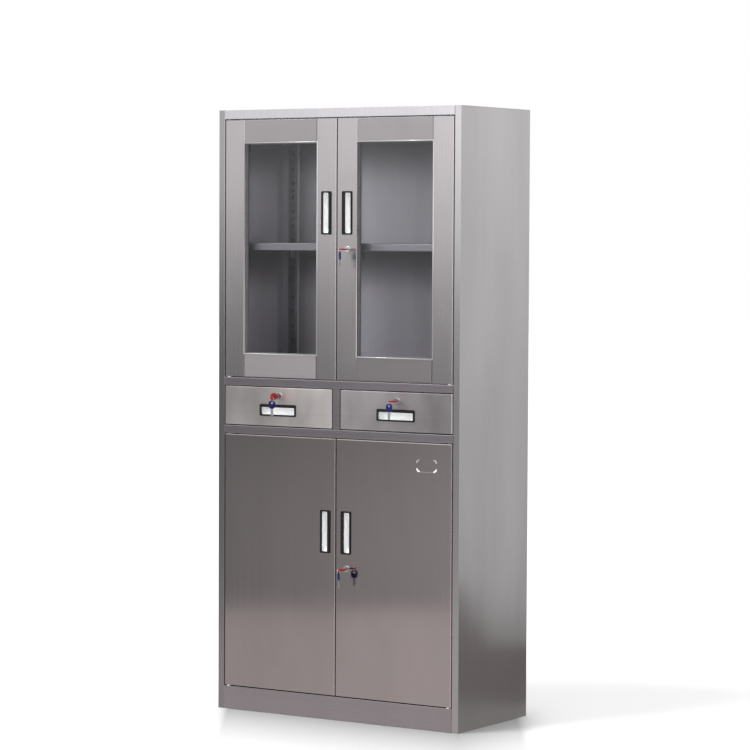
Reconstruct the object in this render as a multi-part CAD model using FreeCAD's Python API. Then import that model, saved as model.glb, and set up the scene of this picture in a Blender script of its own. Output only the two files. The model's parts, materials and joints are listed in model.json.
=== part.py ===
import FreeCAD, Part
import os

# Stainless steel instrument cabinet, in millimetres.
# +Z is up, -Y is the front and +X is the viewer's right. The origin is on the floor, midway between
# the side panels and midway between the front and back of the carcass.

V = FreeCAD.Vector

# Overall size of the carcass
cabinet_width = 850.0
cabinet_depth = 390.0
cabinet_height = 1800.0

# Sheet metal
sheet = 1.0
bend_radius = 1.0
rear_flange = 20.0

# Front layout
plinth_height = 70.0
lower_bay_height = 764.0
rail_height = 24.0
drawer_bay_height = 120.0
top_rail_height = 28.0
upright_width = 22.0
upright_depth = 25.0
divider_width = 25.0
reveal_gap = 2.5
meeting_gap = 3.0
front_thickness = 20.0

# Folds of the rails, plinth and base
rail_depth = 19.0
rail_lip = 10.0
stop_lip = 12.0
stop_gap = 0.5
stop_relief = 43.0
floor_return = 30.0
stiffener_width = 60.0

# Hinges: vertical pins in the rails, turning in the door ends
pin_radius = 2.5
pin_from_edge = 12.0
pin_from_front = 7.0
pin_reach = 12.0
pin_head_radius = 4.5
pin_head_height = 2.0
pin_clearance = 0.05
washer_radius = 6.5
running_gap = 0.3

# Upper doors
frame_width = 70.0
tube_wall = 1.0
tube_corner = 1.8
cap_thickness = 2.0
glass_thickness = 4.0
glass_from_front = 13.0
seal_face = 3.0
seal_cover = 2.0
seal_groove = 1.5

# Lower doors and drawer fronts are folded pans
pan_corner = 2.0
door_pan_lip = 15.0
drawer_pan_lip = 10.0

# Recessed handles
door_handle_width = 35.0
door_handle_height = 127.0
door_handle_from_edge = 35.0
upper_handle_above_middle = 106.5
lower_handle_above_middle = 104.5
drawer_handle_width = 130.0
drawer_handle_height = 35.0
drawer_handle_rise = 49.5
bezel_proud = 3.0
bezel_rim = 4.5
bezel_grip = 9.0
bezel_corner = 4.0
bezel_edge = 0.8
collar_inset = 2.5
collar_depth = 3.0
collar_clearance = 0.2
dish_depth = 11.0
dish_wall = 0.8
dish_side_taper = 5.0
dish_end_taper = 12.0
dish_corner = 3.0

# Cam locks
lock_below_handle = 106.0
lock_from_handle_x = 2.5
drawer_lock_rise = 92.0
drawer_lock_shift = 4.0
flange_radius = 10.0
flange_height = 3.0
flange_edge = 0.8
barrel_radius = 8.0
barrel_clearance = 0.1
nut_radius = 11.0
nut_thickness = 3.0
plug_radius = 6.0
plug_clearance = 0.05
plug_tail = 7.0
cam_gap = 0.5
cam_thickness = 2.0
cam_half_width = 7.0
cam_end_flat = 1.0
door_cam_length = 52.0
drawer_cam_length = 35.0
cam_screw_radius = 4.5
cam_screw_height = 2.0

# Keys
blade_width = 8.0
blade_thickness = 1.8
blade_short = 2.0
blade_end_gap = 1.0
blade_side_gap = 0.15
bow_start = 7.0
bow_neck_end = 15.0
bow_shoulder = 19.0
bow_end = 43.0
bow_half_width = 10.0
bow_neck_half_width = 4.5
bow_end_flat = 1.0
bow_neck_round = 3.0
bow_foot_round = 1.0
bow_thickness = 4.0
bow_hole_radius = 3.5
bow_bridge = 3.0
blade_in_bow = 8.0
ring_radius = 7.0
ring_wire = 0.7
ring_gap = 0.3
upright_ring_gap = 0.7
spare_height = 24.0
spare_half_width = 10.0
spare_corner = 8.0
spare_thickness = 3.0
spare_hole_radius = 4.0
spare_bridge = 3.0
spare_rise = 1.6
spare_blade_length = 22.0
spare_blade_width = 7.0
spare_blade_thickness = 2.0
spare_blade_in_bow = 6.0
door_spare_turn = 44.0
drawer_spare_turn = 0.0
upright_spare_turn = 44.0

# Shelf posts, clips and shelves
post_width = 50.0
post_rear_gap = 3.0
slot_pitch = 22.0
first_slot = 78.0
slot_top_margin = 90.0
slot_width = 14.0
slot_height = 12.0
tongue_width = 6.0
tongue_height = 8.0
twin_slot_width = 4.0
twin_slot_height = 6.0
shelf_row = 13
clip_rise = 16.0
clip_width = 22.0
clip_plate = 1.5
clip_seat = 15.0
clip_drop = 8.0
clip_tab_width = 3.0
clip_tab_height = 5.0
clip_tab_depth = 3.0
shelf_side_gap = 1.5
shelf_lip = 22.0
shelf_return = 12.0
shelf_setback = 40.0
shelf_rear_gap = 8.0

# Drawers on telescopic runners
runner_height = 35.0
runner_thickness = 12.7
runner_flange = 9.0
runner_tip_gap = 1.3
runner_rear_gap = 10.0
runner_rise = 44.0
tray_floor_gap = 8.0
tray_lock_gap = 5.0
tray_rear_gap = 15.0

# Magnetic door catches
catch_from_edge = 25.0
catch_width = 40.0
catch_depth = 11.0
catch_height = 28.0

# Card holder corners pressed in the lower right door
card_from_edge = 85.5
card_below_rail = 68.0
card_width = 70.0
card_height = 38.0
card_corner_radius = 11.0
card_corner_width = 4.5
card_proud = 1.2
card_bead_height = 1.5
card_bead_proud = 0.3

# Places that follow from the sizes above
half_width = cabinet_width / 2
front = -cabinet_depth / 2
back = cabinet_depth / 2
wall = half_width - sheet
jamb = half_width - upright_width
inner_back = back - 2 * sheet
leaf_back = front + front_thickness
stop_front = leaf_back + stop_gap
lower_bay_top = plinth_height + lower_bay_height
lower_deck_top = lower_bay_top + rail_height
drawer_bay_top = lower_deck_top + drawer_bay_height
upper_deck_top = drawer_bay_top + rail_height
upper_bay_top = cabinet_height - top_rail_height
leaf_inner = meeting_gap / 2
leaf_outer = jamb - reveal_gap
pin_x = leaf_outer - pin_from_edge
pin_y = front + pin_from_front
front_post_start = front + upright_depth
front_post_end = front_post_start + post_width
rear_post_end = inner_back - post_rear_gap
rear_post_start = rear_post_end - post_width
handle_x = leaf_inner + door_handle_from_edge
door_lock_x = handle_x + lock_from_handle_x
drawer_inner = divider_width / 2
drawer_middle = (drawer_inner + jamb) / 2
upper_handle_z = (upper_deck_top + upper_bay_top) / 2 + upper_handle_above_middle
lower_handle_z = plinth_height + lower_bay_height / 2 + lower_handle_above_middle
drawer_handle_z = lower_deck_top + drawer_handle_rise
drawer_lock_z = lower_deck_top + drawer_lock_rise
runner_z = lower_deck_top + runner_rise
runner_end = rear_post_end - runner_rear_gap
tray_top = drawer_lock_z - cam_half_width - tray_lock_gap
barrel_length = front_thickness + nut_thickness
blade_depth = barrel_length - blade_short
key_hole_y = front - bow_end + bow_bridge + bow_hole_radius
middle_runner_height = runner_height - 2 * sheet - 2 * running_gap
inner_runner_height = middle_runner_height - 2 * sheet - 2 * running_gap
middle_runner_web = jamb - sheet - running_gap
card_centre_x = leaf_outer - card_from_edge
card_centre_z = lower_bay_top - card_below_rail
bays = (
    (plinth_height, lower_bay_height),
    (upper_deck_top, upper_bay_top - upper_deck_top),
)


def box(x0, x1, y0, y1, z0, z1):
    """Upright box between two corners."""
    return Part.makeBox(x1 - x0, y1 - y0, z1 - z0, V(x0, y0, z0))


def mirrored(shape):
    """The same shape on the other side of the cabinet's middle."""
    return shape.mirror(V(0, 0, 0), V(1, 0, 0))


def both_sides(shapes):
    """Right hand shapes and their left hand mirror images."""
    return shapes + [mirrored(shape) for shape in shapes]


def on_plane(u, v, axis):
    """Point of a section that is drawn square to the axis."""
    return {"x": V(0, u, v), "y": V(u, 0, v), "z": V(u, v, 0)}[axis]


def along(axis, length):
    """Vector of the given length along an axis."""
    return {"x": V(length, 0, 0), "y": V(0, length, 0), "z": V(0, 0, length)}[axis]


def outline(points, radii, axis, level=0.0):
    """Closed wire through the points, with an arc of the given radius at each corner."""
    corners = []
    for index, point in enumerate(points):
        corner = V(point[0], point[1], 0)
        last = V(*points[index - 1], 0) - corner
        following = V(*points[(index + 1) % len(points)], 0) - corner
        last.normalize()
        following.normalize()
        radius = radii[index]
        if radius == 0:
            corners.append((corner, None, corner))
            continue
        middle = last + following
        middle.normalize()
        cosine = last.dot(middle)
        sine = (1 - cosine * cosine) ** 0.5
        tangent = radius * cosine / sine
        crown = corner + middle * (radius / sine - radius)
        corners.append((corner + last * tangent, crown, corner + following * tangent))

    def placed(point):
        return on_plane(point.x, point.y, axis) + along(axis, level)

    edges = []
    for index, (start, crown, end) in enumerate(corners):
        if crown is not None:
            edges.append(Part.Arc(placed(start), placed(crown), placed(end)).toShape())
        next_start = corners[(index + 1) % len(corners)][0]
        if end.distanceToPoint(next_start) > 1e-6:
            edges.append(Part.makeLine(placed(end), placed(next_start)))
    return Part.Wire(edges)


def rectangle(u0, u1, v0, v1, radius, axis, level=0.0):
    """Closed wire of a rectangle with rounded corners."""
    points = [(u0, v0), (u1, v0), (u1, v1), (u0, v1)]
    return outline(points, [radius] * 4, axis, level)


def prism(wires, axis, start, end):
    """Solid between two levels on an axis. Wires after the first are holes."""
    face = Part.makeFace(wires, "Part::FaceMakerBullseye")
    face.translate(along(axis, start))
    return face.extrude(along(axis, end - start))


def fold(path, axis, start, end):
    """Folded sheet. One face follows the path, and the metal lies on the left of the way along it."""
    spots = [V(u, v, 0) for u, v in path]
    ways = [(spots[i + 1] - spots[i]).normalize() for i in range(len(spots) - 1)]
    lefts = [V(-way.y, way.x, 0) for way in ways]
    other = []
    near_radii = []
    far_radii = []
    for index, spot in enumerate(spots):
        before = lefts[max(index - 1, 0)]
        after = lefts[min(index, len(lefts) - 1)]
        other.append(spot + (before + after) * (sheet / (1 + before.dot(after))))
        turn = before.cross(after).z
        inner_side = bend_radius if turn else 0.0
        outer_side = bend_radius + sheet if turn else 0.0
        near_radii.append(outer_side if turn > 0 else inner_side)
        far_radii.append(inner_side if turn > 0 else outer_side)
    points = [(p.x, p.y) for p in spots + other[::-1]]
    return prism([outline(points, near_radii + far_radii[::-1], axis)], axis, start, end)


def joined(shapes):
    """One solid from shapes that meet."""
    return shapes[0].fuse(shapes[1:]).removeSplitter()


def upright_rod(radius, x, y, z0, z1):
    """Upright cylinder, for a pin or its hole."""
    return Part.makeCylinder(radius, z1 - z0, V(x, y, z0))


def level_rod(radius, x, z, y0, y1):
    """Cylinder along Y, for a lock or its hole."""
    return Part.makeCylinder(radius, y1 - y0, V(x, y0, z), V(0, 1, 0))


# Carcass

def side_panel():
    """Left side panel with its front upright and rear flange."""
    path = [
        (-half_width + rear_flange, back),
        (-half_width, back),
        (-half_width, front),
        (-jamb, front),
        (-jamb, front + upright_depth),
    ]
    return fold(path, "z", 0, cabinet_height - sheet)


def pin_holes(z0, z1):
    """Cutters for the two hinge pins of a door pair in a rail."""
    return both_sides([upright_rod(pin_radius + pin_clearance, pin_x, pin_y, z0, z1)])


def stop_reliefs(top):
    """Cutters that end a stop lip short of the hinges."""
    room = sheet
    relief = box(jamb - stop_relief, jamb, stop_front - room, stop_front + sheet + room,
                 top - stop_lip - room, top)
    return both_sides([relief])


def top_panel():
    """Top sheet with the front fascia and the stop lip behind the upper doors."""
    path = [
        (back, cabinet_height),
        (front, cabinet_height),
        (front, upper_bay_top),
        (stop_front, upper_bay_top),
        (stop_front, upper_bay_top - stop_lip),
    ]
    middle = fold(path, "x", -jamb, jamb)
    wings = both_sides([box(jamb, half_width, front, back, cabinet_height - sheet, cabinet_height)])
    holes = pin_holes(upper_bay_top, upper_bay_top + sheet)
    return joined([middle] + wings).cut(holes + stop_reliefs(upper_bay_top))


def back_panel():
    """Flat back sheet inside the rear flanges."""
    edge = wall - 2 * bend_radius
    return box(-edge, edge, inner_back, inner_back + sheet, 0, cabinet_height - sheet)


def bottom_panel():
    """Floor of the lower bay, folded down into the plinth."""
    path = [
        (inner_back, plinth_height),
        (front, plinth_height),
        (front, 0),
        (front + floor_return, 0),
    ]
    middle = fold(path, "x", -jamb, jamb)
    wings = both_sides([box(jamb, wall, front_post_start, inner_back, plinth_height - sheet, plinth_height)])
    return joined([middle] + wings).cut(pin_holes(plinth_height - sheet, plinth_height))


def base_stiffener():
    """Channel under the bottom panel that stands on the floor."""
    half = stiffener_width / 2
    top = plinth_height - sheet
    return fold([(-half, top), (-half, 0), (half, 0), (half, top)], "x", -wall, wall)


def deck_wings(top):
    """Parts of a deck that reach the side panels between the shelf posts."""
    return both_sides([box(jamb, wall, front_post_end, rear_post_start, top - sheet, top)])


def upper_deck():
    """Floor of the upper bay, folded at the front into the rail above the drawers."""
    rail_back = front + rail_depth
    path = [
        (inner_back, upper_deck_top),
        (front, upper_deck_top),
        (front, drawer_bay_top),
        (rail_back, drawer_bay_top),
        (rail_back, drawer_bay_top + rail_lip),
    ]
    deck = joined([fold(path, "x", -jamb, jamb)] + deck_wings(upper_deck_top))
    return deck.cut(pin_holes(upper_deck_top - sheet, upper_deck_top))


def lower_deck():
    """Floor of the drawer bay, with the rail and stop lip above the lower doors."""
    path = [
        (inner_back, lower_deck_top),
        (front, lower_deck_top),
        (front, lower_bay_top),
        (stop_front, lower_bay_top),
        (stop_front, lower_bay_top - stop_lip),
    ]
    deck = joined([fold(path, "x", -jamb, jamb)] + deck_wings(lower_deck_top))
    return deck.cut(pin_holes(lower_bay_top, lower_bay_top + sheet) + stop_reliefs(lower_bay_top))


def drawer_divider():
    """Channel between the drawers."""
    half = divider_width / 2
    path = [(-half, inner_back), (-half, front), (half, front), (half, inner_back)]
    return fold(path, "z", lower_deck_top, drawer_bay_top)


def slot_row_z(floor, row):
    """Height of the middle of a row of slots."""
    return floor + first_slot + slot_pitch * row


def slot_cutters(x0, x1, y):
    """Cutters for the two runs of slots in one post."""
    cutters = []
    for floor, height in bays:
        for row in range(int((height - first_slot - slot_top_margin) / slot_pitch) + 1):
            z = slot_row_z(floor, row)
            half = slot_width / 2
            top = z + slot_height / 2
            foot = z - slot_height / 2
            if row % 2:
                arch = [
                    (y - half, foot),
                    (y - tongue_width / 2, foot),
                    (y - tongue_width / 2, foot + tongue_height),
                    (y + tongue_width / 2, foot + tongue_height),
                    (y + tongue_width / 2, foot),
                    (y + half, foot),
                    (y + half, top),
                    (y - half, top),
                ]
                cutters.append(prism([outline(arch, [0] * len(arch), "x")], "x", x0, x1))
                continue
            for y0 in (y - half, y + half - twin_slot_width):
                cutters.append(box(x0, x1, y0, y0 + twin_slot_width,
                                   z - twin_slot_height / 2, z + twin_slot_height / 2))
    return cutters


def shelf_posts():
    """Four slotted corner posts."""
    path = [
        (wall, front_post_end),
        (jamb, front_post_end),
        (jamb, front_post_start),
        (wall, front_post_start),
    ]
    post = fold(path, "z", plinth_height, cabinet_height - sheet)
    middle = (front_post_start + front_post_end) / 2
    post = post.cut(slot_cutters(jamb, jamb + sheet, middle))
    rear = post.copy()
    rear.translate(V(0, rear_post_start - front_post_start, 0))
    return both_sides([post, rear])


def shelf_seat(floor):
    """Height that the clips carry a shelf at."""
    return slot_row_z(floor, shelf_row) + clip_rise


def shelf_clips():
    """Eight hooked clips, four under each shelf."""
    clips = []
    for floor, height in bays:
        row = slot_row_z(floor, shelf_row)
        seat = shelf_seat(floor)
        for y in (front_post_start + post_width / 2, rear_post_start + post_width / 2):
            y0 = y - clip_width / 2
            y1 = y + clip_width / 2
            plate = box(jamb - clip_plate, jamb, y0, y1, row - clip_drop, seat)
            ledge = box(jamb - clip_seat, jamb, y0, y1, seat - clip_plate, seat)
            pieces = [plate, ledge]
            leg = (slot_width + tongue_width) / 4
            for tab_y in (y - leg, y + leg):
                pieces.append(box(jamb, jamb + clip_tab_depth,
                                  tab_y - clip_tab_width / 2, tab_y + clip_tab_width / 2,
                                  row - clip_tab_height / 2, row + clip_tab_height / 2))
            clips.append(joined(pieces))
    return both_sides(clips)


def shelves():
    """Two folded shelves that rest on the clips."""
    half = jamb - shelf_side_gap
    shelf_front = front + shelf_setback
    shelf_back = inner_back - shelf_rear_gap
    bend = bend_radius + sheet
    made = []
    for floor, height in bays:
        foot = shelf_seat(floor)
        top = foot + shelf_lip
        path = [
            (shelf_back - shelf_return, foot),
            (shelf_back, foot),
            (shelf_back, top),
            (shelf_front, top),
            (shelf_front, foot),
            (shelf_front + shelf_return, foot),
        ]
        ends = both_sides([box(half - sheet, half, shelf_front + bend, shelf_back - bend, foot, top - sheet)])
        made.append(joined([fold(path, "x", -half, half)] + ends))
    return made


def hinge_places():
    """Height of the rail face at each hinge, and the way that the pin points from it."""
    return [(plinth_height, 1), (lower_bay_top, -1), (upper_deck_top, 1), (upper_bay_top, -1)]


def hinge_pins():
    """Eight headed pins in the rails."""
    pins = []
    for z, way in hinge_places():
        head_face = z - way * sheet
        head_end = head_face - way * pin_head_height
        tip = z + way * pin_reach
        shank = upright_rod(pin_radius, pin_x, pin_y, min(tip, head_end), max(tip, head_end))
        head = upright_rod(pin_head_radius, pin_x, pin_y, min(head_face, head_end), max(head_face, head_end))
        pins.append(joined([shank, head]))
    return both_sides(pins)


def hinge_washers():
    """Eight nylon washers between the rails and the door ends."""
    washers = []
    for z, way in hinge_places():
        face = z + way * (reveal_gap - running_gap)
        ring = upright_rod(washer_radius, pin_x, pin_y, min(z, face), max(z, face))
        bore = upright_rod(pin_radius + pin_clearance, pin_x, pin_y, min(z, face), max(z, face))
        washers.append(ring.cut(bore))
    return both_sides(washers)


def door_catches():
    """Four magnetic catches behind the stop lips."""
    x0 = leaf_inner + catch_from_edge
    x1 = x0 + catch_width
    made = []
    for top in (lower_bay_top, upper_bay_top):
        body_front = stop_front + sheet
        body = box(x0, x1, body_front, body_front + catch_depth, top - catch_height, top - sheet)
        nose = box(x0, x1, stop_front, body_front, top - catch_height, top - stop_lip)
        made.append(joined([body, nose]))
    return both_sides(made)


# Door and drawer leaves, made for the right hand side

def handle_hole(frame, depth):
    """Cutter for the opening that a handle sits in, through a wall of the given depth."""
    x0, x1, z0, z1 = frame
    hole = rectangle(x0 + collar_inset, x1 - collar_inset, z0 + collar_inset, z1 - collar_inset,
                     bezel_corner - collar_inset, "y")
    return prism([hole], "y", front, front + depth)


def tube(u0, u1, v0, v1, axis, start, end):
    """Rectangular tube and the wire of its inside."""
    outside = rectangle(u0, u1, v0, v1, tube_corner, axis)
    inside = rectangle(u0 + tube_wall, u1 - tube_wall, v0 + tube_wall, v1 - tube_wall,
                       tube_corner - tube_wall, axis)
    return prism([outside, inside], axis, start, end), inside


def upper_frame(handle, lock):
    """Stiles, rails and end caps of an upper door."""
    z0 = upper_deck_top + reveal_gap
    z1 = upper_bay_top - reveal_gap
    solids = []
    for x0, hinged in ((leaf_inner, False), (leaf_outer - frame_width, True)):
        stile, inside = tube(x0, x0 + frame_width, front, leaf_back, "z", z0, z1)
        if not hinged:
            stile = stile.cut(handle_hole(handle, tube_wall))
            if lock:
                stile = stile.cut(level_rod(barrel_radius + barrel_clearance, *lock, front, leaf_back))
        solids.append(stile)
        for low, high in ((z0, z0 + cap_thickness), (z1 - cap_thickness, z1)):
            cap = prism([inside], "z", low, high)
            if hinged:
                cap = cap.cut(upright_rod(pin_radius + pin_clearance, pin_x, pin_y, low, high))
            solids.append(cap)
    for low, high in ((z0, z0 + frame_width), (z1 - frame_width, z1)):
        rail, inside = tube(front, leaf_back, low, high, "x",
                            leaf_inner + frame_width, leaf_outer - frame_width)
        solids.append(rail)
    return solids


def glazing():
    """Glass pane of an upper door and the seal round its edge."""
    x0 = leaf_inner + frame_width
    x1 = leaf_outer - frame_width
    z0 = upper_deck_top + reveal_gap + frame_width
    z1 = upper_bay_top - reveal_gap - frame_width
    y0 = front + glass_from_front
    y1 = y0 + glass_thickness
    pane = box(x0 + seal_groove, x1 - seal_groove, y0, y1, z0 + seal_groove, z1 - seal_groove)
    outside = rectangle(x0, x1, z0, z1, 0, "y")
    inside = rectangle(x0 + seal_face, x1 - seal_face, z0 + seal_face, z1 - seal_face, 0, "y")
    seal = prism([outside, inside], "y", y0 - seal_cover, y1 + seal_cover).cut(pane)
    return pane, seal


def pan(x0, x1, z0, z1, lip, holes):
    """Folded pan with rounded front edges and a lip round its open back."""
    outside = box(x0, x1, front, leaf_back, z0, z1)
    rounded = [e for e in outside.Edges if e.BoundBox.YMin < front + sheet]
    outside = outside.makeFillet(pan_corner, rounded)
    cavity = box(x0 + sheet, x1 - sheet, front + sheet, leaf_back - sheet, z0 + sheet, z1 - sheet)
    inner_edges = [e for e in cavity.Edges if e.BoundBox.YMin < front + 2 * sheet]
    cavity = cavity.makeFillet(pan_corner - sheet, inner_edges)
    inset = sheet + lip
    mouth = box(x0 + inset, x1 - inset, leaf_back - sheet, leaf_back, z0 + inset, z1 - inset)
    return outside.cut([cavity, mouth] + holes)


def lower_skin(handle, lock):
    """Lower door with its pin holes, handle opening and any lock hole."""
    z0 = plinth_height + reveal_gap
    z1 = lower_bay_top - reveal_gap
    holes = [handle_hole(handle, sheet)]
    for low in (z0, z1 - sheet):
        holes.append(upright_rod(pin_radius + pin_clearance, pin_x, pin_y, low, low + sheet))
    if lock:
        holes.append(level_rod(barrel_radius + barrel_clearance, *lock, front, front + sheet))
    return pan(leaf_inner, leaf_outer, z0, z1, door_pan_lip, holes)


def card_corners():
    """Four raised round corners that hold a card, and the low bead that its foot stands on."""
    face = front - card_proud
    foot = card_centre_z - card_height / 2
    reach = card_width / 2 - card_corner_radius
    raised = [box(card_centre_x - reach, card_centre_x + reach, front - card_bead_proud, front,
                  foot, foot + card_bead_height)]
    for side in (-1, 1):
        for rise in (-1, 1):
            x = card_centre_x + side * reach
            z = card_centre_z + rise * (card_height / 2 - card_corner_radius)
            disc = level_rod(card_corner_radius, x, z, face, front)
            ring = disc.cut(level_rod(card_corner_radius - card_corner_width, x, z, face, front))
            across = sorted((x, x + side * card_corner_radius))
            upright = sorted((z, z + rise * card_corner_radius))
            raised.append(ring.common(box(*across, face, front, *upright)))
    return raised


def handle(frame, grip_on_top):
    """Bezel and dish of a recessed handle. The wide grip is at the closing edge or on top."""
    x0, x1, z0, z1 = frame
    left = bezel_rim if grip_on_top else bezel_grip
    top = bezel_grip if grip_on_top else bezel_rim
    opening = (x0 + left, x1 - bezel_rim, z0 + bezel_rim, z1 - top)
    face_front = front - bezel_proud
    plate = prism([rectangle(x0, x1, z0, z1, bezel_corner, "y")], "y", face_front, front)
    rim_edges = [e for e in plate.Edges if e.BoundBox.YMax < face_front + bezel_edge]
    plate = plate.makeFillet(bezel_edge, rim_edges)
    inset = collar_inset + collar_clearance
    collar = prism([rectangle(x0 + inset, x1 - inset, z0 + inset, z1 - inset, bezel_corner - inset, "y")],
                   "y", front, front + collar_depth)
    dish_front = front + collar_depth
    through = prism([rectangle(*opening, dish_corner, "y")], "y", face_front, dish_front)
    bezel = joined([plate, collar]).cut(through)

    taper_x = dish_end_taper if grip_on_top else dish_side_taper
    taper_z = dish_side_taper if grip_on_top else dish_end_taper

    def dish_wire(spread, taper, level):
        return rectangle(opening[0] - spread + taper * taper_x, opening[1] + spread - taper * taper_x,
                         opening[2] - spread + taper * taper_z, opening[3] + spread - taper * taper_z,
                         dish_corner, "y", level)

    dish_back = dish_front + dish_depth
    outer_wires = [dish_wire(dish_wall, 0, dish_front), dish_wire(dish_wall, 1, dish_back)]
    inner_wires = [dish_wire(0, 0, dish_front), dish_wire(0, 1, dish_back - dish_wall)]
    outer = Part.makeLoft(outer_wires, True, True)
    return bezel, outer.cut(Part.makeLoft(inner_wires, True, True))


def drawer_front(frame, lock):
    """Drawer front with its handle opening and lock hole."""
    holes = [handle_hole(frame, sheet)]
    holes.append(level_rod(barrel_radius + barrel_clearance, *lock, front, front + sheet))
    return pan(drawer_inner + reveal_gap, leaf_outer, lower_deck_top + reveal_gap,
               drawer_bay_top - reveal_gap, drawer_pan_lip, holes)


def drawer_tray():
    """Open tray behind a drawer front."""
    x0 = drawer_inner + runner_thickness
    x1 = jamb - runner_thickness
    z0 = lower_deck_top + tray_floor_gap
    y1 = inner_back - tray_rear_gap
    outside = box(x0, x1, leaf_back, y1, z0, tray_top)
    inside = box(x0 + sheet, x1 - sheet, leaf_back + sheet, y1 - sheet, z0 + sheet, tray_top)
    return outside.cut(inside)


def runner_pair(web, reach, height):
    """Channel at one side of a drawer and its mirror image at the other side."""
    z0 = runner_z - height / 2
    z1 = runner_z + height / 2
    path = [(web + reach, z0), (web, z0), (web, z1), (web + reach, z1)]
    if reach > 0:
        path.reverse()
    rail = fold(path, "y", front_post_start, runner_end)
    return [rail, rail.mirror(V(drawer_middle, 0, 0), V(1, 0, 0))]


def inner_runners():
    """Rails fixed to the sides of a tray."""
    web = jamb - runner_thickness
    tip = middle_runner_web - sheet - runner_tip_gap
    return runner_pair(web, tip - web, inner_runner_height)


# Locks and keys

def lock_barrel(x, z, nut_face):
    """Flanged housing of a cam lock, with its nut behind the leaf."""
    flange = level_rod(flange_radius, x, z, front - flange_height, front)
    rim = [e for e in flange.Edges if e.BoundBox.YMax < front - flange_height + flange_edge]
    flange = flange.makeFillet(flange_edge, rim)
    body = level_rod(barrel_radius, x, z, front, front + barrel_length)
    nut = level_rod(nut_radius, x, z, nut_face, nut_face + nut_thickness)
    bore = level_rod(plug_radius + plug_clearance, x, z, front - flange_height, front + barrel_length)
    return joined([flange, body, nut]).cut(bore)


def turned(shape, angle, x, z):
    """Shape turned about a lock's axis."""
    shape.rotate(V(x, 0, z), V(0, 1, 0), angle)
    return shape


def lock_rotor(x, z, cam_length, cam_angle, key_upright):
    """Plug with its keyway, cam and cam screw. At angle 0 the cam points to +X."""
    plug_end = front + barrel_length + cam_gap
    plug = level_rod(plug_radius, x, z, front - flange_height, plug_end)
    half = plug_tail / 2
    tail = box(x - half, x + half, plug_end, plug_end + cam_thickness, z - half, z + half)
    slot_width_half = blade_width / 2 + blade_side_gap
    slot_height_half = blade_thickness / 2 + blade_side_gap
    keyway = box(x - slot_width_half, x + slot_width_half, front - flange_height,
                 front + blade_depth + blade_end_gap, z - slot_height_half, z + slot_height_half)
    if key_upright:
        keyway = turned(keyway, 90, x, z)
    plug = joined([plug, tail]).cut(keyway)
    cam_wire = rectangle(x - cam_half_width, x + cam_length, z - cam_half_width, z + cam_half_width,
                         cam_half_width - cam_end_flat, "y")
    square = rectangle(x - half, x + half, z - half, z + half, 0, "y")
    cam = turned(prism([cam_wire, square], "y", plug_end, plug_end + cam_thickness), cam_angle, x, z)
    screw_start = plug_end + cam_thickness
    screw = level_rod(cam_screw_radius, x, z, screw_start, screw_start + cam_screw_height)
    return [plug, cam, screw]


def key(x, z, upright):
    """Key in the lock: steel blade and plastic bow."""
    half = blade_width / 2
    thin = blade_thickness / 2
    blade = box(x - half, x + half, front - bow_start - blade_in_bow, front + blade_depth, z - thin, z + thin)
    points = [
        (x - bow_neck_half_width, front - bow_start),
        (x - bow_neck_half_width, front - bow_neck_end),
        (x - bow_half_width, front - bow_shoulder),
        (x - bow_half_width, front - bow_end),
        (x + bow_half_width, front - bow_end),
        (x + bow_half_width, front - bow_shoulder),
        (x + bow_neck_half_width, front - bow_neck_end),
        (x + bow_neck_half_width, front - bow_start),
    ]
    side_radii = [bow_foot_round, bow_neck_round, bow_neck_round, bow_half_width - bow_end_flat]
    radii = side_radii + side_radii[::-1]
    bow = prism([outline(points, radii, "z")], "z", z - bow_thickness / 2, z + bow_thickness / 2)
    hole = upright_rod(bow_hole_radius, x, key_hole_y, z - bow_thickness, z + bow_thickness)
    bow = bow.cut([hole, blade])
    if upright:
        return [turned(blade, 90, x, z), turned(bow, 90, x, z)]
    return [blade, bow]


def ring_top(z, upright):
    """Height of the wire where the ring hangs in the bow."""
    if upright:
        return z - bow_hole_radius + upright_ring_gap + ring_wire
    return z + bow_thickness / 2 + ring_gap + ring_wire


def spare_key(x, z, upright, turn):
    """Wire ring through the bow, with the spare key hanging from it."""
    ring_y = key_hole_y if upright else front - bow_end + bow_bridge / 2
    ring_z = ring_top(z, upright) - ring_radius
    ring_axis = V(0, 1, 0) if upright else V(1, 0, 0)
    ring = Part.makeTorus(ring_radius, ring_wire, V(x, ring_y, ring_z), ring_axis)
    hole_top = ring_z - ring_radius + spare_rise
    hole_z = hole_top - spare_hole_radius
    bow_top = hole_top + spare_bridge
    bow_foot = bow_top - spare_height
    half = spare_thickness / 2
    shape = rectangle(x - spare_half_width, x + spare_half_width, bow_foot, bow_top, spare_corner, "y")
    bow = prism([shape], "y", ring_y - half, ring_y + half)
    blade = box(x - spare_blade_width / 2, x + spare_blade_width / 2,
                ring_y - spare_blade_thickness / 2, ring_y + spare_blade_thickness / 2,
                bow_foot - spare_blade_length, bow_foot + spare_blade_in_bow)
    bow = bow.cut([level_rod(spare_hole_radius, x, hole_z, ring_y - half, ring_y + half), blade])
    for piece in (bow, blade):
        piece.rotate(V(x, ring_y, 0), V(0, 0, 1), 90 - turn if upright else -turn)
    return [ring, bow, blade]


# Assembly

def handle_frame(x, z, width, height):
    """Outer rectangle of a handle from its middle."""
    return (x - width / 2, x + width / 2, z - height / 2, z + height / 2)


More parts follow.
